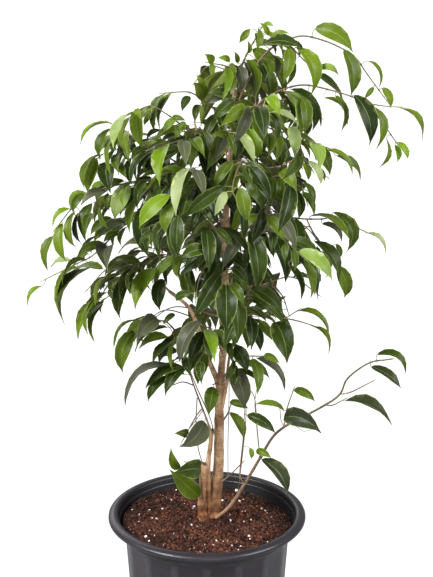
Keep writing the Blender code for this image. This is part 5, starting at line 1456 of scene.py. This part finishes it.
# %% Crumbs, with fibres among them, and perlite
FIBRES = [
    ([(256, 514), (262, 517), (268, 523)], 0.35), ([(249, 505), (252, 500), (254, 496)], 0.35),
    ([(236, 530), (245, 527), (254, 531)], 0.2), ([(170, 512), (178, 508), (188, 511)], 0.2),
    ([(150, 528), (157, 533), (166, 531)], 0.2), ([(195, 540), (203, 536), (214, 541)], 0.2),
]
FIBRE_THICK, FIBRE_SIDES, FIBRE_STEP, FIBRE_UP = 0.00035, 5, 0.002, 0.0006
FIBRE_LEVEL = 0.2262
crumbs = Bundle()
scatter(crumbs, OCTA, OCTA_FACES, 8500, (0.0006, 0.0027), 31, 0.30)
for places, age in FIBRES:
    sight = unit(sights(places))
    line = smooth_line(EYE + sight * ((FIBRE_LEVEL - EYE[2]) / sight[:, 2])[:, None], FIBRE_STEP)
    line[:, 2] = lumpy_height(line[:, 0], line[:, 1]) + FIBRE_UP
    points, faces = tube(line, np.full(len(line), FIBRE_THICK), FIBRE_SIDES)
    crumbs.add(points, faces, 1, None, age)
crumbs.piece("soil_crumbs", [SOIL, TWIG])
perlite = Bundle()
scatter(perlite, BALL, BALL_FACES, 165, (0.0004, 0.0023), 33, 0.15)
perlite.piece("perlite_grains", [perlite_finish()])

# %% [markdown]
# ## Floor, light and camera
#
# The plant was pictured on a white ground in soft light, so the floor is plain and pale, with pale walls
# far off. A white world fills the shadows. Two broad lamps high on the left and right give the leaves their
# shine, a weak one low in front lights the pot, and a weak one behind draws the rim's edge. Colours are
# shown as they are, without a film's curve, so white stays white. The camera stands at the eye that the
# measurements used, with the same focal length.

# %% Floor and walls
FLOOR_GLOW, BOUNCE_GLOW = 0.85, 0.22
FAR_OFF = 40.0
FLOOR_CORNERS = FAR_OFF * np.array([(-1, -1, 0), (1, -1, 0), (1, 1, 0), (-1, 1, 0)])
WALL_CORNERS = np.vstack([FLOOR_CORNERS, FLOOR_CORNERS + FAR_OFF * UP])
FLOOR_FACE = [(0, 1, 2, 3)]
WALL_FACES = [(1, 0, 4, 5), (2, 1, 5, 6), (3, 2, 6, 7), (0, 3, 7, 4)]


def pale_sheet(name, glow, corners, faces):
    """White sheets under or round the pot. `glow` whitens them, as a studio's own lamps do for its ground."""
    mesh = bpy.data.meshes.new(name)
    mesh.from_pydata(corners.tolist(), [], faces)
    white, _, shader = finish(name + "_white", 0.95, 0.1)
    shader.inputs["Base Color"].default_value = (0.80, 0.80, 0.80, 1.0)
    shader.inputs["Emission Color"].default_value = (1.0, 1.0, 1.0, 1.0)
    shader.inputs["Emission Strength"].default_value = glow
    mesh.materials.append(white)
    made = placed(name, mesh)
    return made


floor = pale_sheet("floor", FLOOR_GLOW, FLOOR_CORNERS, FLOOR_FACE)
floor.visible_diffuse = floor.visible_glossy = False
walls = pale_sheet("far_walls", FLOOR_GLOW, WALL_CORNERS, WALL_FACES)
walls.visible_diffuse = walls.visible_glossy = walls.visible_shadow = False
bounce = pale_sheet("floor_bounce", BOUNCE_GLOW, FLOOR_CORNERS, FLOOR_FACE)
bounce.visible_camera = False
print("floor and walls", FAR_OFF, "m off")

# %% World and lamps
bpy.context.scene.view_settings.view_transform = "Standard"
world = bpy.data.worlds.new("studio")
bpy.context.scene.world = world
world.use_nodes = True
background = world.node_tree.nodes["Background"].inputs
background["Color"].default_value = (1.0, 1.0, 1.0, 1.0)
background["Strength"].default_value = 0.32

LAMPS = (("key_lamp", (-1.8, -1.3, 2.3), 0.5, 1.3, 150.0), ("side_lamp", (2.1, -1.0, 2.0), 0.6, 1.6, 90.0),
         ("fill_lamp", (0.4, -2.6, 0.7), 0.25, 1.2, 15.0), ("back_lamp", (-1.2, 2.6, 1.9), 0.6, 1.8, 22.0))
for name, place, aim_height, size, power in LAMPS:
    lamp = bpy.data.lights.new(name, "AREA")
    lamp.shape = "SQUARE"
    lamp.size = size
    lamp.energy = power
    made = placed(name, lamp)
    made.location = place
    made.rotation_euler = (Vector((0.0, 0.0, aim_height)) - Vector(place)).to_track_quat("-Z", "Y").to_euler()
print(len(LAMPS), "lamps,", sum(lamp[-1] for lamp in LAMPS), "watts")

# %% The camera at the measuring eye
SENSOR = 36.0
eye = bpy.data.cameras.new("eye")
eye.sensor_width = SENSOR
eye.lens = PICTURE_FOCAL * SENSOR / PICTURE_HIGH
eye.clip_end = 100.0
camera = placed("eye", eye)
camera.location = EYE
camera.rotation_euler = (math.radians(90) - EYE_PITCH, 0.0, 0.0)
bpy.context.scene.camera = camera
print("lens", round(eye.lens, 1), "mm")
